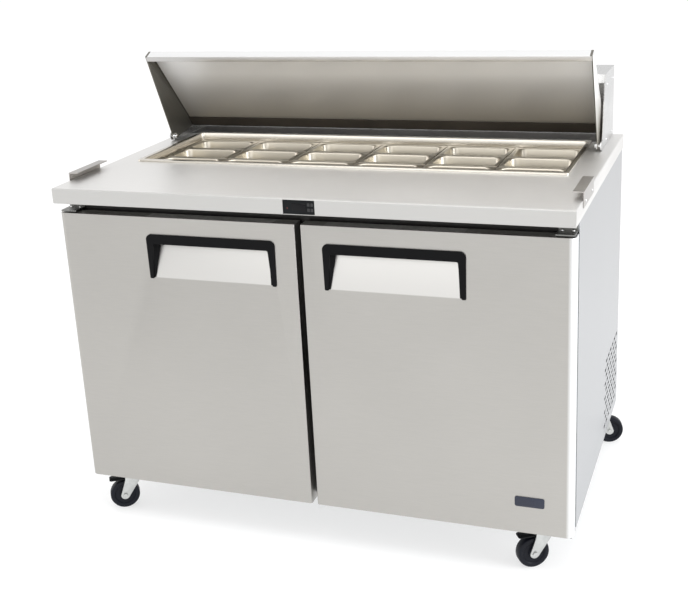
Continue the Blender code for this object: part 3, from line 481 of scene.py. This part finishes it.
def block(bm, low, high, radius=1 * MM, matrix=None):
    """A rectangular block with all its edges rounded."""
    size = Vector(high) - Vector(low)
    place = Matrix.Translation((Vector(low) + Vector(high)) / 2) @ Matrix.Diagonal((*size, 1.0))
    verts = bmesh.ops.create_cube(bm, size=1.0, matrix=(matrix or Matrix.Identity(4)) @ place)["verts"]
    edges = list({edge for vert in verts for edge in vert.link_edges})
    bmesh.ops.bevel(bm, geom=edges, offset=radius, segments=2, profile=0.5, affect="EDGES")


def lathe(bm, profile, centre, axis="Z", steps=32, matrix=None):
    """Turn a closed profile of (radius, offset) points round an axis through a centre."""
    turn = {"X": Matrix.Rotation(math.pi / 2, 4, "Y"), "Y": Matrix.Rotation(-math.pi / 2, 4, "X"),
            "Z": Matrix.Identity(4)}[axis]
    place = (matrix or Matrix.Identity(4)) @ Matrix.Translation(centre) @ turn
    rings = [[place @ Vector((radius * math.cos(2 * math.pi * i / steps), radius * math.sin(2 * math.pi * i / steps),
                              offset)) for i in range(steps)] for radius, offset in profile]
    loft(bm, rings, close=True)


def tube(bm, path, radius, sides=8):
    """A round wire along straight runs between points, with closed ends."""
    path = [Vector(point) for point in path]
    rings = []
    for i, point in enumerate(path):
        along = (path[min(i + 1, len(path) - 1)] - path[max(i - 1, 0)]).normalized()
        across = along.cross(Vector((0, 0, 1)) if abs(along.z) < 0.9 else Vector((1, 0, 0))).normalized()
        third = along.cross(across)
        rings.append([point + radius * (math.cos(2 * math.pi * k / sides) * across +
                                        math.sin(2 * math.pi * k / sides) * third) for k in range(sides)])
    loops = loft(bm, rings)
    bm.faces.new(loops[0])
    bm.faces.new(loops[-1])


def screws(name, places, axis, body, finish="chrome", radius=4.5 * MM):
    """Domed screw heads that stand on a face; the sign of each place's last value says which way they point."""
    bm = bmesh.new()
    for place, way in places:
        profile = [(0.6 * MM, 0), (radius, 0), (radius, way * 0.7 * MM), (radius * 0.85, way * 1.5 * MM),
                   (radius * 0.5, way * 2.1 * MM), (radius * 0.3, way * 2.2 * MM), (radius * 0.28, way * 1.3 * MM),
                   (0.6 * MM, way * 1.3 * MM)]
        lathe(bm, profile, place, axis, steps=16)
    piece(name, bm, finish, body)


def bake(obj):
    """Turn a piece's modifiers into its mesh."""
    mesh = bpy.data.meshes.new_from_object(obj.evaluated_get(bpy.context.evaluated_depsgraph_get()))
    obj.modifiers.clear()
    obj.data = mesh


def cut(obj, bm):
    """Cut a mesh away from a piece."""
    bmesh.ops.recalc_face_normals(bm, faces=bm.faces)
    mesh = bpy.data.meshes.new("cutter")
    bm.to_mesh(mesh)
    bm.free()
    cutter = bpy.data.objects.new("cutter", mesh)
    bpy.context.scene.collection.objects.link(cutter)
    modifier = obj.modifiers.new("cut", "BOOLEAN")
    modifier.operation = "DIFFERENCE"
    modifier.object = cutter
    bake(obj)
    bpy.data.objects.remove(cutter, do_unlink=True)
    obj.data.set_sharp_from_angle(angle=SHARP)


def mirrored(side, points):
    """Points drawn for the right-hand side, flipped for the left."""
    return [(side * x, other) for x, other in points]


# ---------------------------------------------------------------- doors

POCKET_DEPTH = 30 * MM
POCKET_WALL = 4 * MM
OUTER_RADIUS, INNER_RADIUS = 14 * MM, 3 * MM        # of a door's front edges
BORE_RADIUS, BORE_DEPTH = 5 * MM, 20 * MM           # of the bores for the hinge pins


def door_parts(side, word):
    """The door's skin with its hinge bores and sloped finger pocket, and then its handle."""
    body = word + "_door"
    low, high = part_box(body + "_shell")
    near, far = sorted((abs(low.x), abs(high.x)))
    front, rear = low.y, high.y
    plan = [(near, rear)] + arc((near + INNER_RADIUS, front + INNER_RADIUS), INNER_RADIUS, 180, 270)
    plan += arc((far - OUTER_RADIUS, front + OUTER_RADIUS), OUTER_RADIUS, 270, 360, 12) + [(far, rear)]
    bm = bmesh.new()
    prism(bm, mirrored(side, plan), low.z, high.z, "Z", radius=0.8 * MM)
    shell = piece(body + "_skin", bm, "door", body, [body + "_shell"])
    hollows = bmesh.new()
    bore = arc(JOINTS[body + "_hinge"]["pos_m"][:2], BORE_RADIUS, 0, 345, 23)
    for end in (low.z, high.z):
        prism(hollows, bore, end - BORE_DEPTH, end + BORE_DEPTH, "Z")

    low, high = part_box(body + "_handle")
    near, far = sorted((abs(low.x), abs(high.x)))
    top, bottom, face = high.z, low.z, low.y
    roof = top - 8 * MM
    slope = (roof - bottom) / POCKET_DEPTH
    lead = 2 * MM
    pocket_x = sorted((side * (near + POCKET_WALL), side * (far - POCKET_WALL)))
    prism(hollows, [(front - lead, bottom - slope * lead), (front + POCKET_DEPTH, roof), (front - lead, roof)],
          *pocket_x, axis="X")
    cut(shell, hollows)
    handle_frame(side, body, (near, far, bottom, top, face, front, roof))


def handle_frame(side, body, sizes):
    """The black frame round the finger pocket, with its tapered cheeks and the grip bar's underside."""
    near, far, bottom, top, face, front, roof = sizes
    corner, bar, leg_top, leg_bottom, foot = 13 * MM, 22 * MM, 17 * MM, 11 * MM, 3 * MM
    points = arc((near + 1 * MM + foot, bottom + foot), foot, 270, 180, 4)
    points += arc((near + corner, top - corner), corner, 180, 90, 10)
    points += arc((far - corner, top - corner), corner, 90, 0, 10)
    points += arc((far - 1 * MM - foot, bottom + foot), foot, 0, -90, 4)
    points += arc((far - leg_bottom + foot, bottom + foot), foot, 270, 180, 4)
    points += arc((far - leg_top - 3 * MM, top - bar - 3 * MM), 3 * MM, 0, 90, 4)
    points += arc((near + leg_top + 3 * MM, top - bar - 3 * MM), 3 * MM, 90, 180, 4)
    points += arc((near + leg_bottom - foot, bottom + foot), foot, 0, -90, 4)
    bm = bmesh.new()
    prism(bm, mirrored(side, points), face, front - 0.3 * MM, "Y", radius=1.1 * MM)
    wall = POCKET_WALL + 0.5 * MM
    for edge, inward in ((near + wall, 1), (far - wall, -1)):
        wedge = [(edge, front - 1 * MM, bottom + 3 * MM), (edge, front - 1 * MM, roof - 0.5 * MM),
                 (edge, front + POCKET_DEPTH - 1.5 * MM, roof - 0.5 * MM),
                 (edge + inward * 10 * MM, front - 1 * MM, bottom + 3 * MM),
                 (edge + inward * 10 * MM, front - 1 * MM, roof - 0.5 * MM),
                 (edge + inward * 21 * MM, front + POCKET_DEPTH - 1.5 * MM, roof - 0.5 * MM)]
        bmesh.ops.convex_hull(bm, input=[bm.verts.new((side * x, y, z)) for x, y, z in wedge])
    grip_x = sorted((side * (near + wall + 2 * MM), side * (far - wall - 2 * MM)))
    block(bm, (grip_x[0], front - 1.5 * MM, top - bar + 1 * MM), (grip_x[1], front + 4 * MM, roof - 1 * MM), 1.2 * MM)
    prism(bm, [(front + 3 * MM, roof - 0.5 * MM), (front + POCKET_DEPTH - 2 * MM, roof - 0.5 * MM),
               (front + POCKET_DEPTH - 3.5 * MM, roof - 4 * MM), (front + 3 * MM, roof - 4 * MM)], *grip_x, axis="X")
    piece(body + "_grip", bm, "handle", body, [body + "_handle"])


def badge():
    """A blank nameplate low on the right door."""
    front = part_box("right_door_shell")[0].y
    x, z = 514 * MM, 187 * MM
    bm = bmesh.new()
    plate = rounded_rectangle((x - 33 * MM, z - 12 * MM), (x + 33 * MM, z + 12 * MM), 4 * MM)
    prism(bm, plate, front - 1.6 * MM, front, "Y", radius=0.6 * MM)
    piece("blank_nameplate", bm, "badge", "right_door")


# ---------------------------------------------------------------- controller

def controller_parts():
    low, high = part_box("controller")
    face = low.y
    bm = bmesh.new()
    outline = rounded_rectangle((low.x, low.z), (high.x, high.z), 2 * MM)
    prism(bm, outline, face + 0.6 * MM, high.y, "Y", radius=0.8 * MM)
    piece("controller_case", bm, "black", "cabinet", ["controller"])
    middle = (low.z + high.z) / 2
    bm = bmesh.new()
    prism(bm, rounded_rectangle((low.x + 20 * MM, middle - 9 * MM), (low.x + 54 * MM, middle + 9 * MM), 1.5 * MM),
          face + 0.2 * MM, face + 1.2 * MM, "Y", radius=0.2 * MM)
    piece("controller_display", bm, "window", "cabinet")
    bm = bmesh.new()
    for x in (low.x + 60 * MM, low.x + 68 * MM):
        for z in (middle - 6 * MM, middle + 6 * MM):
            prism(bm, rounded_rectangle((x - 3 * MM, z - 3.5 * MM), (x + 3 * MM, z + 3.5 * MM), 1.2 * MM),
                  face, face + 1 * MM, "Y", radius=0.4 * MM)
    piece("controller_keys", bm, "key", "cabinet")
    bm = bmesh.new()
    dome = [(0.2 * MM, 0.1 * MM), (1.0 * MM, 0.25 * MM), (1.7 * MM, 0.8 * MM), (1.7 * MM, 1.4 * MM),
            (0.2 * MM, 1.4 * MM)]
    lathe(bm, dome, (low.x + 10 * MM, face - 0.1 * MM, middle - 3 * MM), "Y", steps=16)
    piece("controller_lamp", bm, "lamp", "cabinet")


# ---------------------------------------------------------------- well and pans

def well_parts():
    """The well's rolled rim, walls and ledges in one loft, and the bars between the columns of pans."""
    low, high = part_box("pan_well")
    centre_y = (low.y + high.y) / 2
    outer_x, outer_y = high.x, (high.y - low.y) / 2
    rim_low, rim_top, bottom = above(0.3 * MM), high.z, low.z
    ledge_top, ledge_bottom = above(-16.3 * MM), above(-28.3 * MM)
    side_rim, front_rim = 12 * MM, 16 * MM
    inner_x, inner_y = outer_x - side_rim, outer_y - front_rim
    sections = [(outer_x, outer_y, 8, rim_low), (outer_x, outer_y, 8, rim_top - 1.8 * MM),
                (outer_x - 0.6 * MM, outer_y - 0.6 * MM, 7.5, rim_top - 0.6 * MM),
                (outer_x - 1.8 * MM, outer_y - 1.8 * MM, 6.5, rim_top),
                (inner_x + 2.0 * MM, inner_y + 2.0 * MM, 9, rim_top),
                (inner_x + 0.6 * MM, inner_y + 0.6 * MM, 8, rim_top - 0.6 * MM),
                (inner_x, inner_y, 7.5, rim_top - 2.0 * MM), (inner_x, inner_y, 7.5, ledge_top),
                (inner_x - 6.4 * MM, inner_y - 6.4 * MM, 4, ledge_top),
                (inner_x - 7 * MM, inner_y - 7 * MM, 4, ledge_top - 0.6 * MM),
                (inner_x - 7 * MM, inner_y - 7 * MM, 4, ledge_bottom), (inner_x, inner_y, 7.5, ledge_bottom),
                (inner_x, inner_y, 7.5, bottom), (inner_x + 2 * MM, inner_y + 2 * MM, 9, bottom),
                (inner_x + 2 * MM, inner_y + 2 * MM, 9, rim_low)]
    bm = bmesh.new()
    loft(bm, [[(x, centre_y + y, z) for x, y in rounded_rectangle((-half_x, -half_y), (half_x, half_y), radius * MM)]
              for half_x, half_y, radius, z in sections], close=True)
    columns = 6
    for column in range(1, columns):
        x = inner_x * (2 * column / columns - 1)
        block(bm, (x - 5.5 * MM, centre_y - inner_y + 3 * MM, ledge_bottom),
              (x + 5.5 * MM, centre_y + inner_y - 3 * MM, ledge_top), 1.2 * MM)
    piece("well_lining", bm, "well", "cabinet", ["pan_well"])


def pan_shape():
    """A pressed pan as a surface, drawn from its rim down, with its rim's top at the origin."""
    low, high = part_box("front_pan_1")
    half_x, half_y = (high.x - low.x) / 2, (high.y - low.y) / 2
    steps = [(0.2, 8, -0.9), (0, 8, -0.5), (0.1, 8, -0.2), (0.6, 7.6, 0), (7.6, 17, 0), (8.8, 18.5, -0.3),
             (9.8, 19.5, -1.2), (10.4, 20, -3.5), (16.4, 17, -84), (17.6, 16, -92), (20.5, 14, -97), (26, 10, -99)]
    bm = bmesh.new()
    rings = [[(x, y, z * MM) for x, y in rounded_rectangle((-half_x + inset * MM, -half_y + inset * MM),
                                                           (half_x - inset * MM, half_y - inset * MM), radius * MM, 8)]
             for inset, radius, z in steps]
    loops = loft(bm, rings)
    bm.faces.new(loops[-1])
    bmesh.ops.recalc_face_normals(bm, faces=bm.faces)
    if sum(face.normal.z * face.calc_area() for face in bm.faces) < 0:
        bmesh.ops.reverse_faces(bm, faces=bm.faces)
    mesh = bpy.data.meshes.new("pressed_pan")
    bm.to_mesh(mesh)
    bm.free()
    mesh.shade_smooth()
    mesh.materials.append(MATERIALS["pan"])
    return mesh


def pan_pieces():
    mesh = pan_shape()
    for name in [node for node in NODES if "_pan_" in node]:
        low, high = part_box(name)
        pan = bpy.data.objects.new(name + "_pressing", mesh)
        bpy.context.scene.collection.objects.link(pan)
        pan.location = ((low.x + high.x) / 2, (low.y + high.y) / 2, high.z)
        solidify = pan.modifiers.new("solidify", "SOLIDIFY")
        solidify.thickness = 0.8 * MM
        solidify.offset = -1
        bpy.context.view_layer.update()
        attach(pan, name)
        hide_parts(name)


# ---------------------------------------------------------------- lid and hood

def lid_parts():
    """The hem of the lid's lip, the washers that the lid swings on and a dark strip of painted shade under its rear
    edge, at rest with the lid open.
    """
    hinge = JOINTS["lid_hinge"]
    axis = Vector(hinge["pos_m"])
    open_turn = Matrix.Translation(axis) @ Matrix.Rotation(LID_TURN, 4, "X") @ Matrix.Translation(-axis)
    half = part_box("lid_cover")[1].x
    bm = bmesh.new()
    lip = rounded_rectangle((back(291.5 * MM), above(5.5 * MM)), (back(304.5 * MM), above(7.5 * MM)), 0.9 * MM, 4)
    prism(bm, lip, -half + 2.5 * MM, half - 2.5 * MM, "X", matrix=open_turn)
    piece("lid_front_hem", bm, "hem", "lid")
    bm = bmesh.new()
    for side, _ in SIDES:
        profile = [(4.6 * MM, 0), (9.5 * MM, 0), (9.5 * MM, side * -1.6 * MM), (8.4 * MM, side * -2.6 * MM),
                   (4.6 * MM, side * -2.6 * MM)]
        lathe(bm, profile, (side * (half - 1.9 * MM), axis.y, axis.z), "X", steps=24)
    piece("lid_pivot_washers", bm, "chrome", "lid")
    bm = bmesh.new()
    # painted shade: a dark strip along the lid's lower rear edge, where the shade under the lid falls
    strip = [(back(553 * MM), above(108.4 * MM)), (back(586 * MM), above(117.1 * MM)),
             (back(586.5 * MM), above(114.6 * MM)), (back(553.5 * MM), above(105.9 * MM))]
    prism(bm, strip, -half + 3 * MM, half - 3 * MM, "X", radius=0.5 * MM, matrix=open_turn)
    piece("lid_shade_strip", bm, "dark_strip", "lid")


def hood_parts():
    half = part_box("rear_hood")[1].x
    axis = Vector(JOINTS["lid_hinge"]["pos_m"])
    bm = bmesh.new()
    for side, _ in SIDES:
        cap = [(0.5 * MM, 0), (6.5 * MM, 0), (6.5 * MM, side * -2.2 * MM), (5.0 * MM, side * -3.6 * MM),
               (0.5 * MM, side * -4.0 * MM)]
        lathe(bm, cap, (side * (571.5 * MM), axis.y, axis.z), "X", steps=24)
    piece("lid_pin_caps", bm, "chrome", "cabinet")
    places = [((side * half, back(distance), above(height)), side)
              for side, _ in SIDES for distance in (630 * MM, 735 * MM) for height in (14 * MM, 150 * MM)]
    screws("hood_screws", places, "X", "cabinet", radius=3.5 * MM)


# ---------------------------------------------------------------- side and rear sheets

def vented_panel():
    """The right side panel with its staggered rows of rounded vent slots."""
    low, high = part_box("right_side_panel")
    sheet = 1.5 * MM
    outside, near, far = high.x, low.y, high.y
    section = [(outside, near + 1 * MM), (outside, far - 1 * MM), (outside - 1 * MM, far), (outside - 20 * MM, far),
               (outside - 20 * MM, far - sheet), (outside - sheet, far - sheet), (outside - sheet, near + sheet),
               (outside - 12 * MM, near + sheet), (outside - 12 * MM, near), (outside - 1 * MM, near)]
    bm = bmesh.new()
    prism(bm, section, low.z, high.z, "Z")
    panel = piece("vented_side_sheet", bm, "side", "cabinet", ["right_side_panel"])
    slots = bmesh.new()
    length, height, pitch_y, pitch_z = 27 * MM, 8 * MM, 38 * MM, 19.5 * MM
    start, stop, lowest = 509 * MM, 752 * MM, 142 * MM
    for row in range(10):
        y = start + (row % 2) * pitch_y / 2
        z = lowest + row * pitch_z
        while y + length <= stop:
            slot = rounded_rectangle((back(y), z), (back(y + length), z + height), height / 2 - 0.01 * MM, 4)
            prism(slots, slot, outside - 3 * MM, outside + 2 * MM, "X")
            y += pitch_y
    cut(panel, slots)


def rear_parts():
    """Pressed lips over the rear louvres, and screws round the sheet."""
    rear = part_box("chassis")[1].y
    columns, rows, pitch_x, pitch_z, lowest, half = 8, 7, 130 * MM, 24 * MM, 150 * MM, 50 * MM
    bm = bmesh.new()
    for column in range(columns):
        x = (column - (columns - 1) / 2) * pitch_x
        for row in range(rows):
            z = lowest + row * pitch_z
            lip = [(rear, z + 9 * MM), (rear + 2.2 * MM, z + 8 * MM), (rear + 4 * MM, z + 5 * MM),
                   (rear + 4.4 * MM, z + 1.5 * MM), (rear + 3.4 * MM, z + 1.5 * MM), (rear + 3.0 * MM, z + 4.6 * MM),
                   (rear + 1.5 * MM, z + 6.8 * MM), (rear, z + 7.4 * MM)]
            prism(bm, lip, x - half, x + half, "X")
    piece("rear_louvre_lips", bm, "galvanised", "cabinet")
    places = [((x * MM, rear, z * MM), 1) for x in (-595, -300, 0, 300, 595) for z in (128, 810)]
    places += [((x * MM, rear, z * MM), 1) for x in (-595, 595) for z in (360, 580)]
    screws("rear_sheet_screws", places, "Y", "cabinet", "zinc")


# ---------------------------------------------------------------- inside

def wire_shelf(word):
    low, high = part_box(word + "_shelf")
    middle = (low.z + high.z) / 2
    rod, wire = 3 * MM, 1.6 * MM
    bm = bmesh.new()
    for y in (low.y + rod, (low.y + high.y) / 2, high.y - rod):
        tube(bm, [(low.x, y, middle), (high.x, y, middle)], rod if y != (low.y + high.y) / 2 else 2.2 * MM)
    for x in (low.x + rod, high.x - rod):
        tube(bm, [(x, low.y, middle), (x, high.y, middle)], rod)
    count = 22
    for i in range(1, count):
        x = low.x + (high.x - low.x) * i / count
        tube(bm, [(x, low.y + 2 * MM, middle + 1.2 * MM), (x, high.y - 2 * MM, middle + 1.2 * MM)], wire, 6)
    piece(word + "_wire_rack", bm, "wire", "cabinet", [word + "_shelf"])


def evaporator_guards():
    low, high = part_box("evaporator_unit")
    front, middle = low.y, (low.z + high.z) / 2
    bm = bmesh.new()
    for side, _ in SIDES:
        centre = (side * 110 * MM, front - 1.5 * MM, middle)
        for radius in (14 * MM, 26 * MM, 38 * MM, 50 * MM):
            ring = [(radius + 1.1 * MM * math.cos(a), 1.1 * MM * math.sin(a))
                    for a in [math.pi * k / 4 for k in range(8)]]
            lathe(bm, ring, centre, "Y", steps=32)
        for angle in (45, 135, 225, 315):
            reach = Vector((math.cos(math.radians(angle)), 0, math.sin(math.radians(angle))))
            tube(bm, [Vector(centre) + reach * 12 * MM, Vector(centre) + reach * 55 * MM], 1.1 * MM)
    piece("evaporator_fan_guards", bm, "zinc", "cabinet")


def condenser_fins():
    """Thin fins on the coil's outer face, behind the side vents, made near black as painted shade so the vents read
    dark.
    """
    low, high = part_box("condensing_unit")
    bm = bmesh.new()
    face = 584 * MM
    for i in range(52):
        y = back(527 * MM) + i * 4 * MM
        block(bm, (face - 0.5 * MM, y, low.z + 14 * MM), (face + 6 * MM, y + 0.6 * MM, high.z - 6 * MM), 0.1 * MM)
    piece("condenser_fins", bm, "fins", "cabinet")


def fan_pieces():
    """A pressed four-blade fan with cupped blades on a domed hub."""
    centre = Vector(JOINTS["fan_spin"]["pos_m"])
    bm = bmesh.new()
    hub = [(4 * MM, -9.5 * MM), (19 * MM, -9.5 * MM), (20 * MM, -8 * MM), (20 * MM, 7 * MM), (17 * MM, 9.5 * MM),
           (4 * MM, 9.5 * MM)]
    lathe(bm, hub, centre, "X", steps=32)
    for blade in range(4):
        start = Matrix.Rotation(math.pi / 2 * blade, 4, "X")
        rows = []
        for i in range(7):
            radius = (18 + 58 * i / 6) * MM
            spread = math.radians(38 + 4 * i)
            pitch = math.radians(24 - 2 * i)
            row = []
            for j in range(7):
                angle = spread * (j / 6 - 0.5)
                lift = math.tan(pitch) * radius * angle * 0.55 + 1.5 * MM * math.cos(angle * 3)
                row.append(Vector((lift, radius * math.sin(angle), radius * math.cos(angle))))
            rows.append(row)
        grid = [[bm.verts.new(centre + start @ point) for point in row] for row in rows]
        for low_row, high_row in zip(grid, grid[1:]):
            for j in range(6):
                bm.faces.new((low_row[j], low_row[j + 1], high_row[j + 1], high_row[j]))
    piece("fan_pressing", bm, "fan", "fan", ["condenser_fan"],
          modifiers=[("SOLIDIFY", {"thickness": 0.9 * MM, "offset": 0.0})])


# ---------------------------------------------------------------- casters

def caster_parts(place):
    swivel = Vector(JOINTS[place + "_swivel"]["pos_m"])
    axle = Vector(JOINTS[place + "_wheel_spin"]["pos_m"])
    trail = (axle - swivel).to_2d()
    stand = Matrix.Translation((swivel.x, swivel.y, 0)) @ Matrix.Rotation(math.atan2(trail.y, trail.x), 4, "Z")
    reach, radius = trail.length, axle.z

    head_low, head_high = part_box(place + "_caster_head")
    bottom = head_low.z
    bm = bmesh.new()
    dome = [(1 * MM, bottom), (25.5 * MM, bottom), (27 * MM, bottom + 1.5 * MM), (27 * MM, bottom + 5 * MM),
            (25 * MM, bottom + 9 * MM), (19 * MM, bottom + 12 * MM), (10 * MM, bottom + 12.2 * MM),
            (9 * MM, bottom + 12.6 * MM), (9 * MM, head_high.z), (1 * MM, head_high.z)]
    lathe(bm, dome, (0, 0, 0), matrix=stand)
    piece(place + "_swivel_cover", bm, "black", "cabinet", [place + "_caster_head"])

    bm = bmesh.new()
    plate_top = bottom - 0.3 * MM
    race = [(1 * MM, plate_top - 6 * MM), (23 * MM, plate_top - 6 * MM), (24 * MM, plate_top - 5 * MM),
            (24 * MM, plate_top - 1.2 * MM), (22.6 * MM, plate_top), (1 * MM, plate_top)]
    lathe(bm, race, (0, 0, 0), matrix=stand)
    leg_top = plate_top - 2 * MM
    leg = [(-15 * MM, leg_top), (-15 * MM, leg_top - 16 * MM)] + arc((reach, radius), 11 * MM, 215, 375, 14)
    leg += [(20 * MM, leg_top - 12 * MM), (20 * MM, leg_top)]
    inner, sheet = 14.5 * MM, 2.5 * MM
    for side, _ in SIDES:
        prism(bm, leg, *sorted((side * inner, side * (inner + sheet))), "Y", radius=0.6 * MM, matrix=stand)
        nut = [(reach + 6 * MM * math.cos(a), radius + 6 * MM * math.sin(a))
               for a in [math.pi * k / 3 for k in range(6)]]
        faces = sorted((side * (inner + sheet), side * (inner + sheet + 4 * MM)))
        prism(bm, nut, *faces, "Y", radius=0.5 * MM, matrix=stand)
    bolt = [(0.5 * MM, -inner), (4.5 * MM, -inner), (4.5 * MM, inner), (0.5 * MM, inner)]
    lathe(bm, bolt, (reach, 0, radius), "Y", steps=20, matrix=stand)
    piece(place + "_fork_pressing", bm, "zinc", place + "_fork", [place + "_caster_fork"])

    half = 12 * MM
    side_profile = [(6 * MM, half + 1 * MM), (11 * MM, half + 1 * MM), (12.5 * MM, half), (13.5 * MM, half - 3 * MM),
                    (25 * MM, half - 3.4 * MM), (27 * MM, half - 0.6 * MM), (28.5 * MM, half),
                    (radius - 4 * MM, half), (radius - 1.2 * MM, half - 1.4 * MM), (radius, half - 4.5 * MM)]
    profile = side_profile + [(r, -offset) for r, offset in reversed(side_profile)]
    bm = bmesh.new()
    lathe(bm, profile, (reach, 0, radius), "Y", steps=48, matrix=stand)
    piece(place + "_tyre_and_hub", bm, "wheel", place + "_wheel", [place + "_caster_wheel"])
    if place.startswith("front"):
        brake_pedal(place, stand)


def brake_pedal(place, stand):
    """The pedal's tab with ribs across its toe and its knuckle on the brake pin."""
    pin_height = 81.5 * MM
    bm = bmesh.new()
    tab = rounded_rectangle((7 * MM, -13 * MM), (60 * MM, 13 * MM), 5 * MM)
    prism(bm, tab, pin_height - 1.5 * MM, pin_height + 1.5 * MM, "Z", radius=0.8 * MM, matrix=stand)
    for x in (44 * MM, 49 * MM, 54 * MM):
        block(bm, (x - 1 * MM, -10 * MM, pin_height + 1 * MM), (x + 1 * MM, 10 * MM, pin_height + 2.3 * MM),
              0.4 * MM, matrix=stand)
    knuckle = [(2.6 * MM, -13 * MM), (4.4 * MM, -13 * MM), (4.4 * MM, 13 * MM), (2.6 * MM, 13 * MM)]
    lathe(bm, knuckle, (4 * MM, 0, pin_height), "Y", steps=20, matrix=stand)
    piece(place + "_pedal_tab", bm, "black", place + "_brake", [place + "_caster_brake"])


# ---------------------------------------------------------------- fastenings

def fastenings():
    for side, word in SIDES:
        low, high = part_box(word + "_top_hinge")
        middle = (low.x + high.x) / 2
        places = [((middle + offset * MM, back(54 * MM), high.z - 8 * MM), 1) for offset in (-12, 12)]
        screws(word + "_hinge_screws", places, "Z", "cabinet", radius=3.2 * MM)
        low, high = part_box(word + "_board_bracket")
        outside = high.x if side > 0 else low.x
        places = [((outside, low.y + offset * MM, above(-6 * MM)), side) for offset in (25, 113)]
        screws(word + "_bracket_screws", places, "X", "cabinet", radius=3.5 * MM)


make_camera()
make_studio()
make_floor()
finish_nodes()
for door_side, door_word in SIDES:
    door_parts(door_side, door_word)
    wire_shelf(door_word)
badge()
controller_parts()
well_parts()
pan_pieces()
lid_parts()
hood_parts()
vented_panel()
rear_parts()
evaporator_guards()
condenser_fins()
fan_pieces()
for caster in CASTERS:
    caster_parts(caster)
fastenings()
for node_name, edge in (("rear_hood", 0.7 * MM), ("lid_cover", 0.6 * MM), ("left_side_panel", 0.6 * MM),
                        ("left_board_bracket", 0.6 * MM), ("right_board_bracket", 0.6 * MM),
                        ("left_top_hinge", 0.5 * MM), ("right_top_hinge", 0.5 * MM), ("left_bottom_hinge", 0.5 * MM),
                        ("right_bottom_hinge", 0.5 * MM), ("left_door_gasket", 1.5 * MM),
                        ("right_door_gasket", 1.5 * MM), ("condensing_unit", 1.0 * MM)):
    soften(node_name, edge)

bpy.context.view_layer.update()
